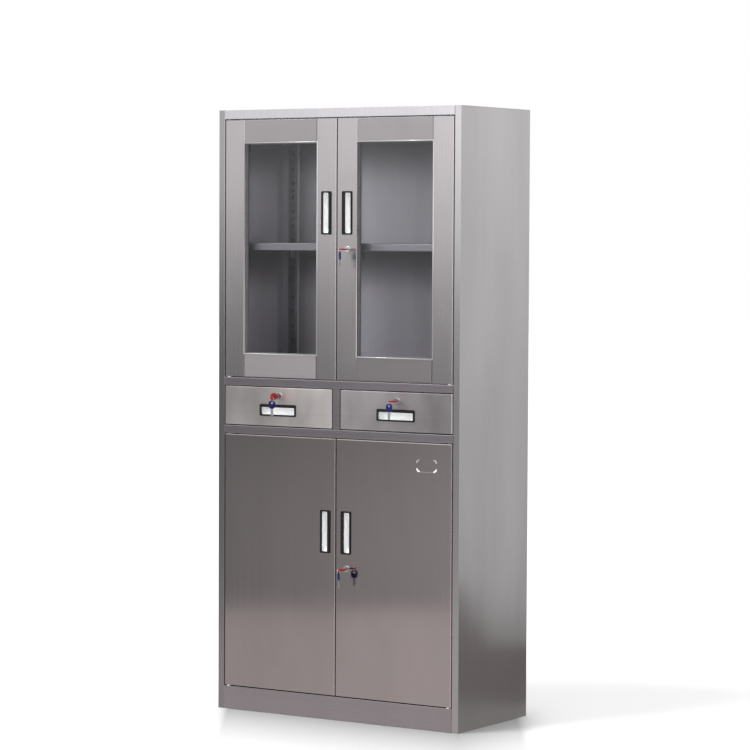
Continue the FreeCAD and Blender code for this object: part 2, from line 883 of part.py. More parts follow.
upper_handle = handle_frame(handle_x, upper_handle_z, door_handle_width, door_handle_height)
lower_handle = handle_frame(handle_x, lower_handle_z, door_handle_width, door_handle_height)
drawer_handle = handle_frame(drawer_middle, drawer_handle_z, drawer_handle_width, drawer_handle_height)
upper_lock = (door_lock_x, upper_handle_z - lock_below_handle)
lower_lock = (door_lock_x, lower_handle_z - lock_below_handle)
left_drawer_lock = (-drawer_middle + drawer_lock_shift, drawer_lock_z)
right_drawer_lock = (drawer_middle + drawer_lock_shift, drawer_lock_z)
mirrored_left_lock = (drawer_middle - drawer_lock_shift, drawer_lock_z)
cam_down = 90
cam_right = 0

nodes = {}
nodes["side_panel_left"] = [side_panel()]
nodes["side_panel_right"] = [mirrored(side_panel())]
nodes["top_panel"] = [top_panel()]
nodes["back_panel"] = [back_panel()]
nodes["bottom_panel"] = [bottom_panel()]
nodes["base_stiffener"] = [base_stiffener()]
nodes["upper_deck"] = [upper_deck()]
nodes["lower_deck"] = [lower_deck()]
nodes["drawer_divider"] = [drawer_divider()]
nodes["shelf_posts"] = shelf_posts()
nodes["shelf_clips"] = shelf_clips()
nodes["shelves"] = shelves()
nodes["hinge_pins"] = hinge_pins()
nodes["hinge_washers"] = hinge_washers()
nodes["door_catches"] = door_catches()
nodes["runner_outer_rails"] = both_sides(runner_pair(jamb, -runner_flange, runner_height))

pane, seal = glazing()
nodes["upper_left_door_frame"] = [mirrored(s) for s in upper_frame(upper_handle, None)]
nodes["upper_left_glass"] = [mirrored(pane)]
nodes["upper_left_glazing_seal"] = [mirrored(seal)]
nodes["upper_right_door_frame"] = upper_frame(upper_handle, upper_lock)
nodes["upper_right_glass"] = [pane]
nodes["upper_right_glazing_seal"] = [seal]
nodes["lower_left_door_skin"] = [mirrored(lower_skin(lower_handle, None))]
nodes["lower_right_door_skin"] = [joined([lower_skin(lower_handle, lower_lock)] + card_corners())]

for name, frame, grip_on_top in (
    ("upper", upper_handle, False),
    ("lower", lower_handle, False),
    ("drawer", drawer_handle, True),
):
    bezel, dish = handle(frame, grip_on_top)
    for side in ("left", "right"):
        place = f"{side}_drawer" if grip_on_top else f"{name}_{side}"
        nodes[f"{place}_handle_bezel"] = [mirrored(bezel) if side == "left" else bezel]
        nodes[f"{place}_handle_dish"] = [mirrored(dish) if side == "left" else dish]

for side, lock in (("left", mirrored_left_lock), ("right", right_drawer_lock)):
    parts = {
        "front": [drawer_front(drawer_handle, lock)],
        "tray": [drawer_tray()],
        "inner_rails": inner_runners(),
        "middle_rails": runner_pair(middle_runner_web, -runner_flange, middle_runner_height),
    }
    for piece, solids in parts.items():
        nodes[f"{side}_drawer_{piece}"] = [mirrored(s) if side == "left" else s for s in solids]

skin_back = front + sheet
locks = {
    "upper_door": (upper_lock, door_cam_length, cam_down, False, door_spare_turn, leaf_back),
    "lower_door": (lower_lock, door_cam_length, cam_down, False, door_spare_turn, skin_back),
    "left_drawer": (left_drawer_lock, drawer_cam_length, cam_right, True, upright_spare_turn, skin_back),
    "right_drawer": (right_drawer_lock, drawer_cam_length, cam_right, False, drawer_spare_turn, skin_back),
}
for name, (place, cam_length, cam_angle, upright, spare_turn, nut_face) in locks.items():
    nodes[f"{name}_lock_barrel"] = [lock_barrel(*place, nut_face)]
    nodes[f"{name}_lock_plug"] = lock_rotor(*place, cam_length, cam_angle, upright)
    nodes[f"{name}_key"] = key(*place, upright)
    nodes[f"{name}_spare_key"] = spare_key(*place, upright, spare_turn)

os.makedirs("parts", exist_ok=True)
for name, solids in nodes.items():
    shape = solids[0] if len(solids) == 1 else Part.makeCompound(solids)
    shape.exportStep(f"parts/{name}.step")
    print(name, len(shape.Solids), round(shape.Volume / 1000, 2), "cm3", shape.isValid())
print(len(nodes), "nodes")
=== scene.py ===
"""Looks of a brushed stainless steel instrument cabinet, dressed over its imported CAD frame."""

import json
import logging
import math
from collections.abc import Callable, Sequence
from dataclasses import dataclass
from enum import Enum
from functools import cache, cached_property, reduce
from typing import Any

import bmesh
import bpy
from bpy.types import Material, Mesh, Node, NodeSocket, NodeTree, Object
from mathutils import Matrix, Vector

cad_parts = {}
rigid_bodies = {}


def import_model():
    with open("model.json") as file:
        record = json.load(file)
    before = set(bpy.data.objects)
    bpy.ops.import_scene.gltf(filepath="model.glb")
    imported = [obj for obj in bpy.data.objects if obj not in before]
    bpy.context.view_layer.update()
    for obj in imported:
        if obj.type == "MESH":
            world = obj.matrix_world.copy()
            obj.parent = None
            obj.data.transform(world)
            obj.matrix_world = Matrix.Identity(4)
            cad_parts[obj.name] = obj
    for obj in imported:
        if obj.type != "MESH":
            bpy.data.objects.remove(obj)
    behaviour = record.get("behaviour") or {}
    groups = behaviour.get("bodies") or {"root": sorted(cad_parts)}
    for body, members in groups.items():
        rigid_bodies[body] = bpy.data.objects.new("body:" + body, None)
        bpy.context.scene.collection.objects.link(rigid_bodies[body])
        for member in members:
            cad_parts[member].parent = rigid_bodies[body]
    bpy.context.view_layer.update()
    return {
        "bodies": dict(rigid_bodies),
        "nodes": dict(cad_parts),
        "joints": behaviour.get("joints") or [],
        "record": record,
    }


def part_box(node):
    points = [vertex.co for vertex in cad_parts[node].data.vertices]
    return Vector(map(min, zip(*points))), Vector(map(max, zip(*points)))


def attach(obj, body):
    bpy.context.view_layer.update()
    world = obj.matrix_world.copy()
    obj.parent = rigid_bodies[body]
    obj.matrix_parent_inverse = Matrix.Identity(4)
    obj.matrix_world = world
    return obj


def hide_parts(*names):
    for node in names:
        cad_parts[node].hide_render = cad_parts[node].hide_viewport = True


log = logging.getLogger("instrument_cabinet")

Colour = tuple[float, float, float]
Triple = tuple[float, float, float]
Pair = tuple[float, float]
SIDES = ("left", "right")
HANDS = {"right": 1.0, "left": -1.0}
WHITE = (1.0, 1.0, 1.0, 1.0)
ONE_FACE = ((0, 1, 2, 3),)
# Numbers of a Mix node's inputs
FACTOR, VECTOR_A, VECTOR_B, COLOUR_A, COLOUR_B = 0, 4, 5, 6, 7


class Grain(Enum):
    """How often a steel surface's marks repeat along X, Y and Z, in marks per metre."""

    UPRIGHT = (105.0, 105.0, 0.5)
    ACROSS = (0.5, 105.0, 105.0)
    MILL = (26.0, 26.0, 26.0)
    SPANGLE = (210.0, 210.0, 210.0)


class LampKind(Enum):
    """Blender's names of the lights in use."""

    SUN = "SUN"
    SQUARE = "AREA"


def toward(bearing_deg: float, elevation_deg: float = 0.0) -> Vector:
    """The way from the cabinet to a place round it: ahead at zero, to the right at positive bearings."""
    bearing, rise = math.radians(bearing_deg), math.radians(elevation_deg)
    return Vector((math.sin(bearing) * math.cos(rise), -math.cos(bearing) * math.cos(rise), math.sin(rise)))


def along(bearing_deg: float) -> Vector:
    """The level way across a bearing, to the right as seen from there."""
    bearing = math.radians(bearing_deg)
    return Vector((math.cos(bearing), math.sin(bearing), 0.0))


def tinted(level: float, tint: Colour) -> tuple[float, ...]:
    """A tint at a level of brightness, with full alpha."""
    return (*(level * share for share in tint), 1.0)


def level_corners(x_range: Pair, y_range: Pair, height: float) -> list[Triple]:
    """Corners of a level rectangle that faces up."""
    (x0, x1), (y0, y1) = x_range, y_range
    return [(x0, y0, height), (x1, y0, height), (x1, y1, height), (x0, y1, height)]


def link(name: str, data: Any) -> Object:
    """Put a mesh, a light or a camera in the scene.

    Args:
        name: the object's name.
        data: what it shows.

    Returns:
        The object, at the origin.
    """
    piece = bpy.data.objects.new(name, data)
    bpy.context.scene.collection.objects.link(piece)
    return piece


def sheet(name: str, corners: Sequence[Any], faces: Sequence[Any], material: Material) -> Object:
    """Add a flat thing of the studio.

    Args:
        name: its name.
        corners: its corners, in place.
        faces: the corners of each face.
        material: its material.

    Returns:
        The object.
    """
    mesh = bpy.data.meshes.new(name)
    mesh.from_pydata(corners, [], faces)
    mesh.materials.append(material)
    return link(name, mesh)


def operation(kind: str) -> Callable[..., "Term"]:
    """A method of Term that adds a Math node.

    Args:
        kind: Blender's name of the operation.

    Returns:
        The method, which takes the other numbers or terms.
    """
    def method(term: "Term", *others: Any) -> "Term":
        """The operation on a term."""
        return term.board.math(kind, term, *others)

    return method


class Term:
    """A number that changes over a surface: a socket with plain arithmetic.

    Above, below and near are one where they hold, and zero elsewhere. Near takes a middle and a reach.
    """

    __add__ = operation("ADD")
    __sub__ = operation("SUBTRACT")
    __mul__ = operation("MULTIPLY")
    __truediv__ = operation("DIVIDE")
    __abs__ = operation("ABSOLUTE")
    most = operation("MAXIMUM")
    least = operation("MINIMUM")
    above = operation("GREATER_THAN")
    below = operation("LESS_THAN")
    near = operation("COMPARE")

    def __init__(self, board: "Board", socket: NodeSocket) -> None:
        """Keep the board and its socket."""
        self.board = board
        self.socket = socket

    def __rsub__(self, other: float) -> "Term":
        """A number less this."""
        return self.board.math("SUBTRACT", other, self)

    def within(self, low: float, high: float) -> "Term":
        """One from low to high, and zero elsewhere."""
        return self.near((low + high) / 2, (high - low) / 2)

    def blend(self, start: float, end: float) -> "Term":
        """From start, where this is zero, to end, where it is one."""
        return self * (end - start) + start

    def exp(self) -> "Term":
        """The number e to the power of this."""
        return self.board.math("POWER", math.e, self)


class Board:
    """A node tree with short calls that add and wire its nodes."""

    def __init__(self, tree: NodeTree) -> None:
        """Keep the shader or geometry node tree to work on."""
        self.tree = tree

    def add(self, kind: str, feeds: dict[Any, Any] | None = None, **settings: Any) -> Node:
        """Add a node.

        Args:
            kind: Blender's name of the node type.
            feeds: what its inputs get, by label or number.
            settings: properties to set on the node.

        Returns:
            The new node.
        """
        node = self.tree.nodes.new(kind)
        for name, value in settings.items():
            setattr(node, name, value)
        self.fill(node.inputs, feeds or {})
        return node

    def feed(self, socket: NodeSocket, value: Any) -> None:
        """Wire a source into a socket, or set the socket to a plain value.

        Args:
            socket: the input to feed.
            value: a term, an output socket or a plain value.
        """
        source = value.socket if isinstance(value, Term) else value
        if isinstance(source, NodeSocket):
            self.tree.links.new(source, socket)
        else:
            socket.default_value = source

    def fill(self, sockets: Any, values: dict[Any, Any]) -> None:
        """Feed several sockets, each named by its label or number."""
        for key, value in values.items():
            self.feed(sockets[key], value)

    def out(self, kind: str, feeds: dict[Any, Any], **settings: Any) -> NodeSocket:
        """Add a node, and give its first output."""
        return self.add(kind, feeds, **settings).outputs[0]

    def math(self, operation: str, *values: Any) -> Term:
        """Add a Math node."""
        return Term(self, self.out("ShaderNodeMath", dict(enumerate(values)), operation=operation))

    def noise(self, vector: Any, scale: Any = 1.0, detail: float = 0.0, roughness: float = 0.5) -> Term:
        """Add a noise texture, around one half, whose detail counts its finer layers."""
        feeds = {"Vector": vector, "Scale": scale, "Detail": detail, "Roughness": roughness}
        return Term(self, self.out("ShaderNodeTexNoise", feeds))

    def axes(self, vector: Any) -> list[Term]:
        """X, Y and Z of a position or a direction."""
        return [Term(self, part) for part in self.add("ShaderNodeSeparateXYZ", {0: vector}).outputs]

    def scaled(self, vector: Any, factors: Any) -> NodeSocket:
        """Multiply a position by three factors."""
        return self.out("ShaderNodeVectorMath", {0: vector, 1: factors}, operation="MULTIPLY")

    def tinted(self, colour: Colour, tone: Term) -> NodeSocket:
        """Multiply a colour by a tone that changes over the surface."""
        feeds = {FACTOR: 1.0, COLOUR_A: (*colour, 1.0), COLOUR_B: tone}
        return self.add("ShaderNodeMix", feeds, data_type="RGBA", blend_type="MULTIPLY").outputs[2]

    def seen(self) -> Term:
        """One for what the eye, a reflection or glass shows, and zero for other light."""
        rays = self.add("ShaderNodeLightPath").outputs
        return Term(self, rays["Is Camera Ray"]).most(rays["Is Glossy Ray"]).most(rays["Is Transmission Ray"])


class GroupBoard(Board):
    """A node group with named inputs and outputs."""

    def __init__(self, name: str, inputs: dict[str, str], outputs: dict[str, str],
                 kind: str = "Shader") -> None:
        """Start the group.

        Args:
            name: the group's name.
            inputs: labels and types of its inputs.
            outputs: labels and types of its outputs.
            kind: Shader or Geometry.
        """
        super().__init__(bpy.data.node_groups.new(name, f"{kind}NodeTree"))
        for side, sockets in (("INPUT", inputs), ("OUTPUT", outputs)):
            for label, held in sockets.items():
                self.tree.interface.new_socket(label, in_out=side, socket_type=f"NodeSocket{held}")
        sources = self.add("NodeGroupInput").outputs
        self.given = {label: Term(self, sources[label]) for label in inputs}
        self.made = self.add("NodeGroupOutput").inputs

    def close(self, **results: Any) -> NodeTree:
        """Wire the results to the group's outputs, and give back its tree."""
        self.fill(self.made, results)
        return self.tree


class SharedEffects:
    """Shader node groups that several finishes use."""

    STREAKED = {"Position": "Vector", "Stretch": "Vector", "Depth": "Float"}
    MARKED = {"Position": "Vector", "Size": "Float", "Amount": "Float"}
    DUSTED = {"Position": "Vector", "Facing": "Vector", "Amount": "Float"}
    SURFACE = {"Tone": "Float", "Roughness": "Float", "Height": "Float"}
    MASK = {"Mask": "Float"}
    NOISE_MEAN = 0.5
    FINE_SCALE = 3.1
    FINE_SHARE = 0.5
    LINES_MEAN = 0.75
    LINES_ROUGHNESS = 0.03
    CLOUDS_ROUGHNESS = -0.12
    WAVES_SCALE = 0.8
    MARKS_FROM = 0.56
    MARKS_CONTRAST = 4.0
    DUST_SCALE = 90.0
    CEILINGS = (1.72, 1.382, 0.834, 0.45)
    SHADE_REACH = 0.15

    def __init__(self) -> None:
        """Build each group once."""
        self.bay_shade = self._bay_shade()
        self.grain = self._grain()
        self.clouds = self._clouds()
        self.hand_marks = self._hand_marks()
        self.dust = self._dust()

    def _grain(self) -> NodeTree:
        """Long brush lines, broad streaks with finer ones in them.

        Returns:
            The group, with a tone, a roughness and a height.
        """
        board = GroupBoard("brushed_grain", self.STREAKED, self.SURFACE)
        place = board.scaled(board.given["Position"], board.given["Stretch"])
        streaks = board.noise(place, detail=1.0)
        lines = board.noise(place, self.FINE_SCALE) * self.FINE_SHARE + streaks
        around = lines - self.LINES_MEAN
        tone = around * board.given["Depth"] + 1.0
        return board.close(Tone=tone, Roughness=around * self.LINES_ROUGHNESS, Height=lines)

    def _clouds(self) -> NodeTree:
        """Soft clouds and waves that the rolling and polishing leave.

        Returns:
            The group, with a tone, a roughness and a height.
        """
        board = GroupBoard("polishing_clouds", self.STREAKED, self.SURFACE)
        place = board.scaled(board.given["Position"], board.given["Stretch"])
        around = board.noise(place, detail=2.0) - self.NOISE_MEAN
        tone = around * board.given["Depth"] + 1.0
        waves = board.noise(place, self.WAVES_SCALE)
        return board.close(Tone=tone, Roughness=around * self.CLOUDS_ROUGHNESS, Height=waves)

    def _hand_marks(self) -> NodeTree:
        """Scattered smudges from hands.

        Returns:
            The group, with a mask.
        """
        board = GroupBoard("hand_marks", self.MARKED, self.MASK)
        patches = board.noise(board.given["Position"], board.given["Size"], detail=1.0)
        spots = (patches - self.MARKS_FROM) * self.MARKS_CONTRAST
        return board.close(Mask=spots.most(0.0).least(1.0) * board.given["Amount"])

    def _bay_shade(self) -> NodeTree:
        """Soft shade under the top of the cabinet, its decks and its shelves.

        Returns:
            The group, with a tone.
        """
        board = GroupBoard("bay_shade", {"Position": "Vector", "Depth": "Float"}, {"Tone": "Float"})
        height = board.axes(board.given["Position"])[2]
        shades = []
        for ceiling in self.CEILINGS:
            drop = ceiling - height
            shades.append((drop * (-1.0 / self.SHADE_REACH) + 1.0).most(0.0) * drop.above(0.0))
        shade = reduce(Term.most, shades)
        soft = shade * shade * (shade * -2.0 + 3.0)
        return board.close(Tone=1.0 - soft * board.given["Depth"])

    def _dust(self) -> NodeTree:
        """Fine dust on faces that look up.

        Returns:
            The group, with a mask.
        """
        board = GroupBoard("settled_dust", self.DUSTED, self.MASK)
        up = (board.axes(board.given["Facing"])[2] * 2.0 - 1.0).most(0.0)
        speckle = board.noise(board.given["Position"], self.DUST_SCALE, detail=4.0, roughness=0.7)
        return board.close(Mask=up * speckle * board.given["Amount"])


class Surface(Board):
    """A material's tree, with its Principled shader's inputs and the shared effects."""

    def __init__(self, tree: NodeTree, effects: SharedEffects) -> None:
        """Start from the tree of a new material.

        Args:
            tree: the material's tree.
            effects: the shared node groups.
        """
        super().__init__(tree)
        self.effects = effects
        self.shader = tree.nodes["Principled BSDF"].inputs
        self.position = self.add("ShaderNodeTexCoord").outputs["Object"]

    @cached_property
    def place(self) -> list[Term]:
        """X, Y and Z of a point of the piece."""
        return self.axes(self.position)

    def group(self, tree: NodeTree, **values: Any) -> dict[str, Term]:
        """Place a shared group at the piece's own position, and give its outputs by label."""
        node = self.add("ShaderNodeGroup", {"Position": self.position, **values}, node_tree=tree)
        return {output.name: Term(self, output) for output in node.outputs}

    def bump(self, height: Term, strength: float = 1.0, distance: float = 1.0) -> None:
        """Wire a height, in units of the distance in metres, into the shader's Normal."""
        feeds = {"Strength": strength, "Distance": distance, "Height": height}
        self.feed(self.shader["Normal"], self.out("ShaderNodeBump", feeds))


@dataclass(frozen=True)
class Finish:
    """A surface finish. Each subclass wires its own nodes in `weave`."""

    name: str
    colour: Colour
    roughness: float
    metallic: float = 0.0

    def build(self, effects: SharedEffects) -> Material:
        """Make the Blender material.

        Args:
            effects: the shared node groups.

        Returns:
            The material.
        """
        material = bpy.data.materials.new(self.name)
        material.use_nodes = True
        material.diffuse_color = (*self.colour, 1.0)
        on = Surface(material.node_tree, effects)
        on.feed(on.shader["Metallic"], self.metallic)
        self.weave(on)
        return material

    def weave(self, on: Surface) -> None:
        """Wire the finish's nodes on the material's tree."""
        raise NotImplementedError


@dataclass(frozen=True)
class BrushedSteel(Finish):
    """Stainless sheet with long brush lines, soft clouds, hand marks and a little dust on top, and painted
    highlights on given folded edges.
    """

    metallic: float = 1.0
    grain: Grain = Grain.UPRIGHT
    line_depth: float = 0.08
    line_height: float = 0.000001
    cloud_depth: float = 0.16
    cloud_stretch: Triple = (5.0, 5.0, 1.6)
    wave_height: float = 0.0016
    marks: float = 0.05
    mark_size: float = 9.0
    mark_tone: float = 0.35
    mark_roughness: float = 0.8
    dust: float = 0.35
    dust_roughness: float = 0.35
    # Painted highlights on folded edges: each entry is an axis and the place of an edge.
    edges: tuple[tuple[str, float], ...] = ()
    edge_half_width: float = 0.0016
    edge_painted_highlight: float = 0.16
    painted_highlight_tone: float = 2.0

    def shine(self, on: Surface) -> Term | None:
        """How strong the painted highlight on the folded edges is.

        Args:
            on: the material's tree.

        Returns:
            A mask from zero to one, or None without such edges.
        """
        if not self.edges:
            return None
        place = dict(zip("XYZ", on.place))
        bright = (place[axis].near(middle, self.edge_half_width) for axis, middle in self.edges)
        return reduce(Term.most, bright) * self.edge_painted_highlight

    def stretch(self, on: Surface) -> Any:
        """The grain's stretch: the same all over the sheet."""
        return self.grain.value

    def toned(self, on: Surface, tone: Term) -> Term:
        """The tone as it is."""
        return tone

    def roughened(self, on: Surface, rough: Term) -> Term:
        """The roughness as it is."""
        return rough

    def weave(self, on: Surface) -> None:
        """Wire brush lines, clouds, marks, dust and the painted highlights.

        Args:
            on: the material's tree.
        """
        lines = on.group(on.effects.grain, Stretch=self.stretch(on), Depth=self.line_depth)
        clouds = on.group(on.effects.clouds, Stretch=self.cloud_stretch, Depth=self.cloud_depth)
        marks = on.group(on.effects.hand_marks, Size=self.mark_size, Amount=self.marks)["Mask"]
        facing = on.add("ShaderNodeNewGeometry").outputs["Normal"]
        dust = on.group(on.effects.dust, Facing=facing, Amount=self.dust)["Mask"]
        tone = self.toned(on, lines["Tone"] * clouds["Tone"] - marks * self.mark_tone)
        shine = self.shine(on)
        # Painted highlight: lighter and less metallic where the mask is set.
        if shine is not None:
            tone = tone * shine.blend(1.0, self.painted_highlight_tone)
            on.feed(on.shader["Metallic"], shine.blend(self.metallic, 0.0))
        rough = lines["Roughness"] + clouds["Roughness"] + (marks * self.mark_roughness + self.roughness)
        rough = self.roughened(on, rough + dust * self.dust_roughness)
        on.fill(on.shader, {"Base Color": on.tinted(self.colour, tone), "Roughness": rough})
        on.bump(lines["Height"] * self.line_height + clouds["Height"] * self.wave_height)


@dataclass(frozen=True)
class PanelSteel(BrushedSteel):
    """Side panel steel: brushed outside, plain on the inner face with a painted light level there, darker in
    painted shade under each ceiling and behind the shelf posts, and painted light and shade on the front of
    each upright.
    """

    inner_face: float = 0.4245
    upright_depth: float = 0.185
    # Painted light level of the inner face; the bays' painted shade falls on it.
    inner_painted_light: float = 1.2
    bay_depth: float = 0.35
    front_face: float = 0.1925
    # Painted light and shade on the uprights' fronts: the left darker, the right lighter.
    upright_painted_light: Pair = (0.80, 1.16)
    # Painted shade on the inner face behind the shelf posts.
    post_middles: Pair = (-0.145, 0.165)
    post_half_width: float = 0.0245
    post_painted_shade: float = 0.1
    seam_height: float = 1.7984
    seam_tone: float = 0.5

    def toned(self, on: Surface, tone: Term) -> Term:
        """Full tone outside, painted light and shade on each upright's front, and the painted inner tones
        behind them.

        Args:
            on: the material's tree.
            tone: the brushed tone.

        Returns:
            The tone in place.
        """
        across, depth, height = on.place
        inner = abs(across).below(self.inner_face) * depth.above(-self.upright_depth)
        ahead = depth.below(-self.front_face)
        left, right = self.upright_painted_light
        # Painted light and shade on the front of each upright.
        gain = ahead * across.above(0.0).blend(left - 1.0, right - 1.0) + 1.0
        # Painted light level on the inner face, with the bays' painted shade.
        bay = on.group(on.effects.bay_shade, Depth=self.bay_depth)["Tone"]
        gain = inner * (bay * self.inner_painted_light - 1.0) + gain
        # Painted shade behind each shelf post.
        for middle in self.post_middles:
            hidden = depth.near(middle, self.post_half_width) * inner
            gain = hidden * (self.post_painted_shade - gain) + gain
        seam = height.above(self.seam_height) * (1.0 - ahead)
        return tone * (gain * seam.blend(1.0, self.seam_tone))


@dataclass(frozen=True)
class BackSteel(BrushedSteel):
    """Back panel steel, with a broad upright band of painted light and painted shade at the top of each bay.
    """

    # Painted light: a broad upright band, as of a reflection.
    light_band_middle: float = -0.19
    light_band_width: float = 0.1
    light_band_gain: float = 2.1
    bay_depth: float = 0.74

    def toned(self, on: Surface, tone: Term) -> Term:
        """The band's painted light with the bays' painted shade.

        Args:
            on: the material's tree.
            tone: the brushed tone.

        Returns:
            The tone in place.
        """
        off = (on.place[0] - self.light_band_middle) / self.light_band_width
        band = (off * (off * -1.0)).exp() * self.light_band_gain + 1.0
        bay = on.group(on.effects.bay_shade, Depth=self.bay_depth)["Tone"]
        return tone * (bay * band)


@dataclass(frozen=True)
class DoorSteel(BrushedSteel):
    """Lower door steel, with painted highlights on the raised card corners, strongest on their lower pair,
    and painted light rising from the left door to the right one.
    """

    # Painted highlights on the raised card corners and the bead in front of the door's face.
    raised_from: float = 0.1954
    bead_from: float = 0.1951
    bead_painted_highlight: float = 0.25
    card_foot: float = 0.747
    card_height: float = 0.038
    card_highlight_fade: float = 0.75
    # Painted light rising from the left door to the right one.
    lean: float = 0.175

    def toned(self, on: Surface, tone: Term) -> Term:
        """Painted light that rises a little from the left door to the right one."""
        return tone * (on.place[0] * self.lean + 1.0)

    def shine(self, on: Surface) -> Term:
        """Painted highlights: one on the lower card corners, less on the upper ones, the bead and the folded
        edges.

        Args:
            on: the material's tree.

        Returns:
            The mask.
        """
        _, depth, height = on.place
        rise = (height - self.card_foot) / self.card_height
        corner = depth.below(-self.raised_from) * (rise * -self.card_highlight_fade + 1.0)
        bead = depth.below(-self.bead_from) * self.bead_painted_highlight
        return corner.most(bead).most(super().shine(on))


@dataclass(frozen=True)
class DrawerSteel(BrushedSteel):
    """Drawer front steel, with painted light that peaks beside the divider."""

    grain: Grain = Grain.ACROSS
    cloud_depth: float = 1.1
    cloud_stretch: Triple = (8.0, 8.0, 5.0)
    # Painted light: a peak across the front, falling away to both sides.
    painted_light_centre: float = -0.08
    painted_light_peak: float = 1.44
    painted_light_fall: float = 1.65

    def toned(self, on: Surface, tone: Term) -> Term:
        """Painted light that falls away from its peak."""
        return tone * (abs(on.place[0] - self.painted_light_centre) * -self.painted_light_fall + self.painted_light_peak)


@dataclass(frozen=True)
class FrameSteel(BrushedSteel):
    """Door frame steel: stiles brushed upright and rails across, with a fine butt seam between them."""

    stile_inner: float = 0.0725
    stile_outer: float = 0.3295
    rail_roughness: float = 0.22
    rail_tone: float = 0.86
    foot_rail_top: float = 1.08
    # Painted light and shade on the lower rails: the left door's lighter, the right door's darker.
    foot_rail_painted_light: Pair = (1.14, 0.68)
    seam_width: float = 0.0009
    seam_shade: float = 0.45
    # Painted light on the walls of the glass opening, against their shade.
    wall_from: float = -0.1935
    wall_foot: float = 1.0735
    wall_top: float = 1.7005
    wall_reach: float = 0.002
    wall_painted_light: float = 0.22

    def rails(self, on: Surface) -> Term:
        """One on the rails and zero on the stiles."""
        return abs(on.place[0]).within(self.stile_inner, self.stile_outer)

    def shine(self, on: Surface) -> Term:
        """Painted highlights on the folded edges, and less painted light on the walls of the opening, which
        are made lighter and less metallic against their shade.

        Args:
            on: the material's tree.

        Returns:
            The mask.
        """
        across, depth, height = on.place
        wide = abs(across).within(self.stile_inner - self.wall_reach, self.stile_outer + self.wall_reach)
        wall = depth.above(self.wall_from) * height.within(self.wall_foot, self.wall_top) * wide
        return (wall * self.wall_painted_light).most(super().shine(on))

    def stretch(self, on: Surface) -> NodeSocket:
        """The grain's stretch, turned on the rails."""
        feeds = {FACTOR: self.rails(on), VECTOR_A: Grain.UPRIGHT.value, VECTOR_B: Grain.ACROSS.value}
        return on.add("ShaderNodeMix", feeds, data_type="VECTOR").outputs[1]

    def toned(self, on: Surface, tone: Term) -> Term:
        """Full tone on the stiles, painted light and shade on the lower rails, a little less on the rails,
        and dark seams.

        Args:
            on: the material's tree.
            tone: the brushed tone.

        Returns:
            The tone in place.
        """
        across, _, height = on.place
        inner = abs(across).near(self.stile_inner, self.seam_width / 2)
        outer = abs(across).near(self.stile_outer, self.seam_width / 2)
        # Painted light and shade on the lower rails.
        left, right = self.foot_rail_painted_light
        foot = across.above(0.0).blend(left - self.rail_tone, right - self.rail_tone)
        gain = height.below(self.foot_rail_top) * foot + (self.rail_tone - 1.0)
        return tone * ((inner + outer) * -self.seam_shade + (self.rails(on) * gain + 1.0))

    def roughened(self, on: Surface, rough: Term) -> Term:
        """Rails scatter more, because they are brushed across."""
        return rough + self.rails(on) * self.rail_roughness


@dataclass(frozen=True)
class PlatedMetal(Finish):
    """Plated or zinc coated metal with a fine spangle and a few scuffs."""

    metallic: float = 1.0
    spangle: float = 0.24
    scuffs: float = 0.15
    scuff_size: float = 120.0
    scuff_tone: float = 0.3

    def weave(self, on: Surface) -> None:
        """Wire the spangle and scuffs.

        Args:
            on: the material's tree.
        """
        spots = on.group(on.effects.clouds, Stretch=Grain.SPANGLE.value, Depth=self.spangle)
        marks = on.group(on.effects.hand_marks, Size=self.scuff_size, Amount=self.scuffs)["Mask"]
        colour = on.tinted(self.colour, spots["Tone"] - marks * self.scuff_tone)
        on.fill(on.shader, {"Base Color": colour, "Roughness": spots["Roughness"] + (marks + self.roughness)})


@dataclass(frozen=True)
class MouldedPlastic(Finish):
    """Moulded plastic or rubber with a fine skin texture and worn spots, and painted shade away from given
    heights.
    """

    skin_scale: float = 1400.0
    skin_tone: float = 0.25
    skin_height: float = 0.00004
    skin_share: float = 0.3
    wear: float = 0.2
    wear_size: float = 85.0
    wear_tone: float = 0.5
    wear_roughness: float = 0.4
    specular: float = 0.5
    # Painted shade: dark away from these heights, so only pieces there stay pale.
    lit_heights: tuple[float, ...] = ()
    lit_reach: float = 0.01
    shaded_tone: float = 0.1

    def painted_shade(self, on: Surface) -> Term:
        """Painted shade: full tone at the given heights and a dark tone elsewhere."""
        pale = reduce(Term.most, (on.place[2].near(height, self.lit_reach) for height in self.lit_heights))
        return pale.blend(self.shaded_tone, 1.0)

    def weave(self, on: Surface) -> None:
        """Wire the skin texture, wear and the painted shade.

        Args:
            on: the material's tree.
        """
        skin = on.noise(on.position, self.skin_scale, detail=2.0, roughness=0.6)
        marks = on.group(on.effects.hand_marks, Size=self.wear_size, Amount=self.wear)["Mask"]
        tone = (skin - SharedEffects.NOISE_MEAN) * self.skin_tone + 1.0 + marks * self.wear_tone
        # Painted shade away from the given heights.
        if self.lit_heights:
            tone = tone * self.painted_shade(on)
        rough = marks * self.wear_roughness + self.roughness
        on.fill(on.shader, {"Base Color": on.tinted(self.colour, tone), "Roughness": rough,
                            "Specular IOR Level": self.specular})
        on.bump(skin, self.skin_share, self.skin_height)


@dataclass(frozen=True)
class ClearGlass(Finish):
    """Float glass with a trace of film from wiping."""

    film: float = 0.03
    film_size: float = 6.0
    ior: float = 1.36

    def weave(self, on: Surface) -> None:
        """Wire the film into the colour."""
        marks = on.group(on.effects.hand_marks, Size=self.film_size, Amount=self.film)["Mask"]
        on.fill(on.shader, {"Base Color": on.tinted(self.colour, 1.0 - marks), "Roughness": self.roughness,
                            "Transmission Weight": 1.0, "IOR": self.ior})


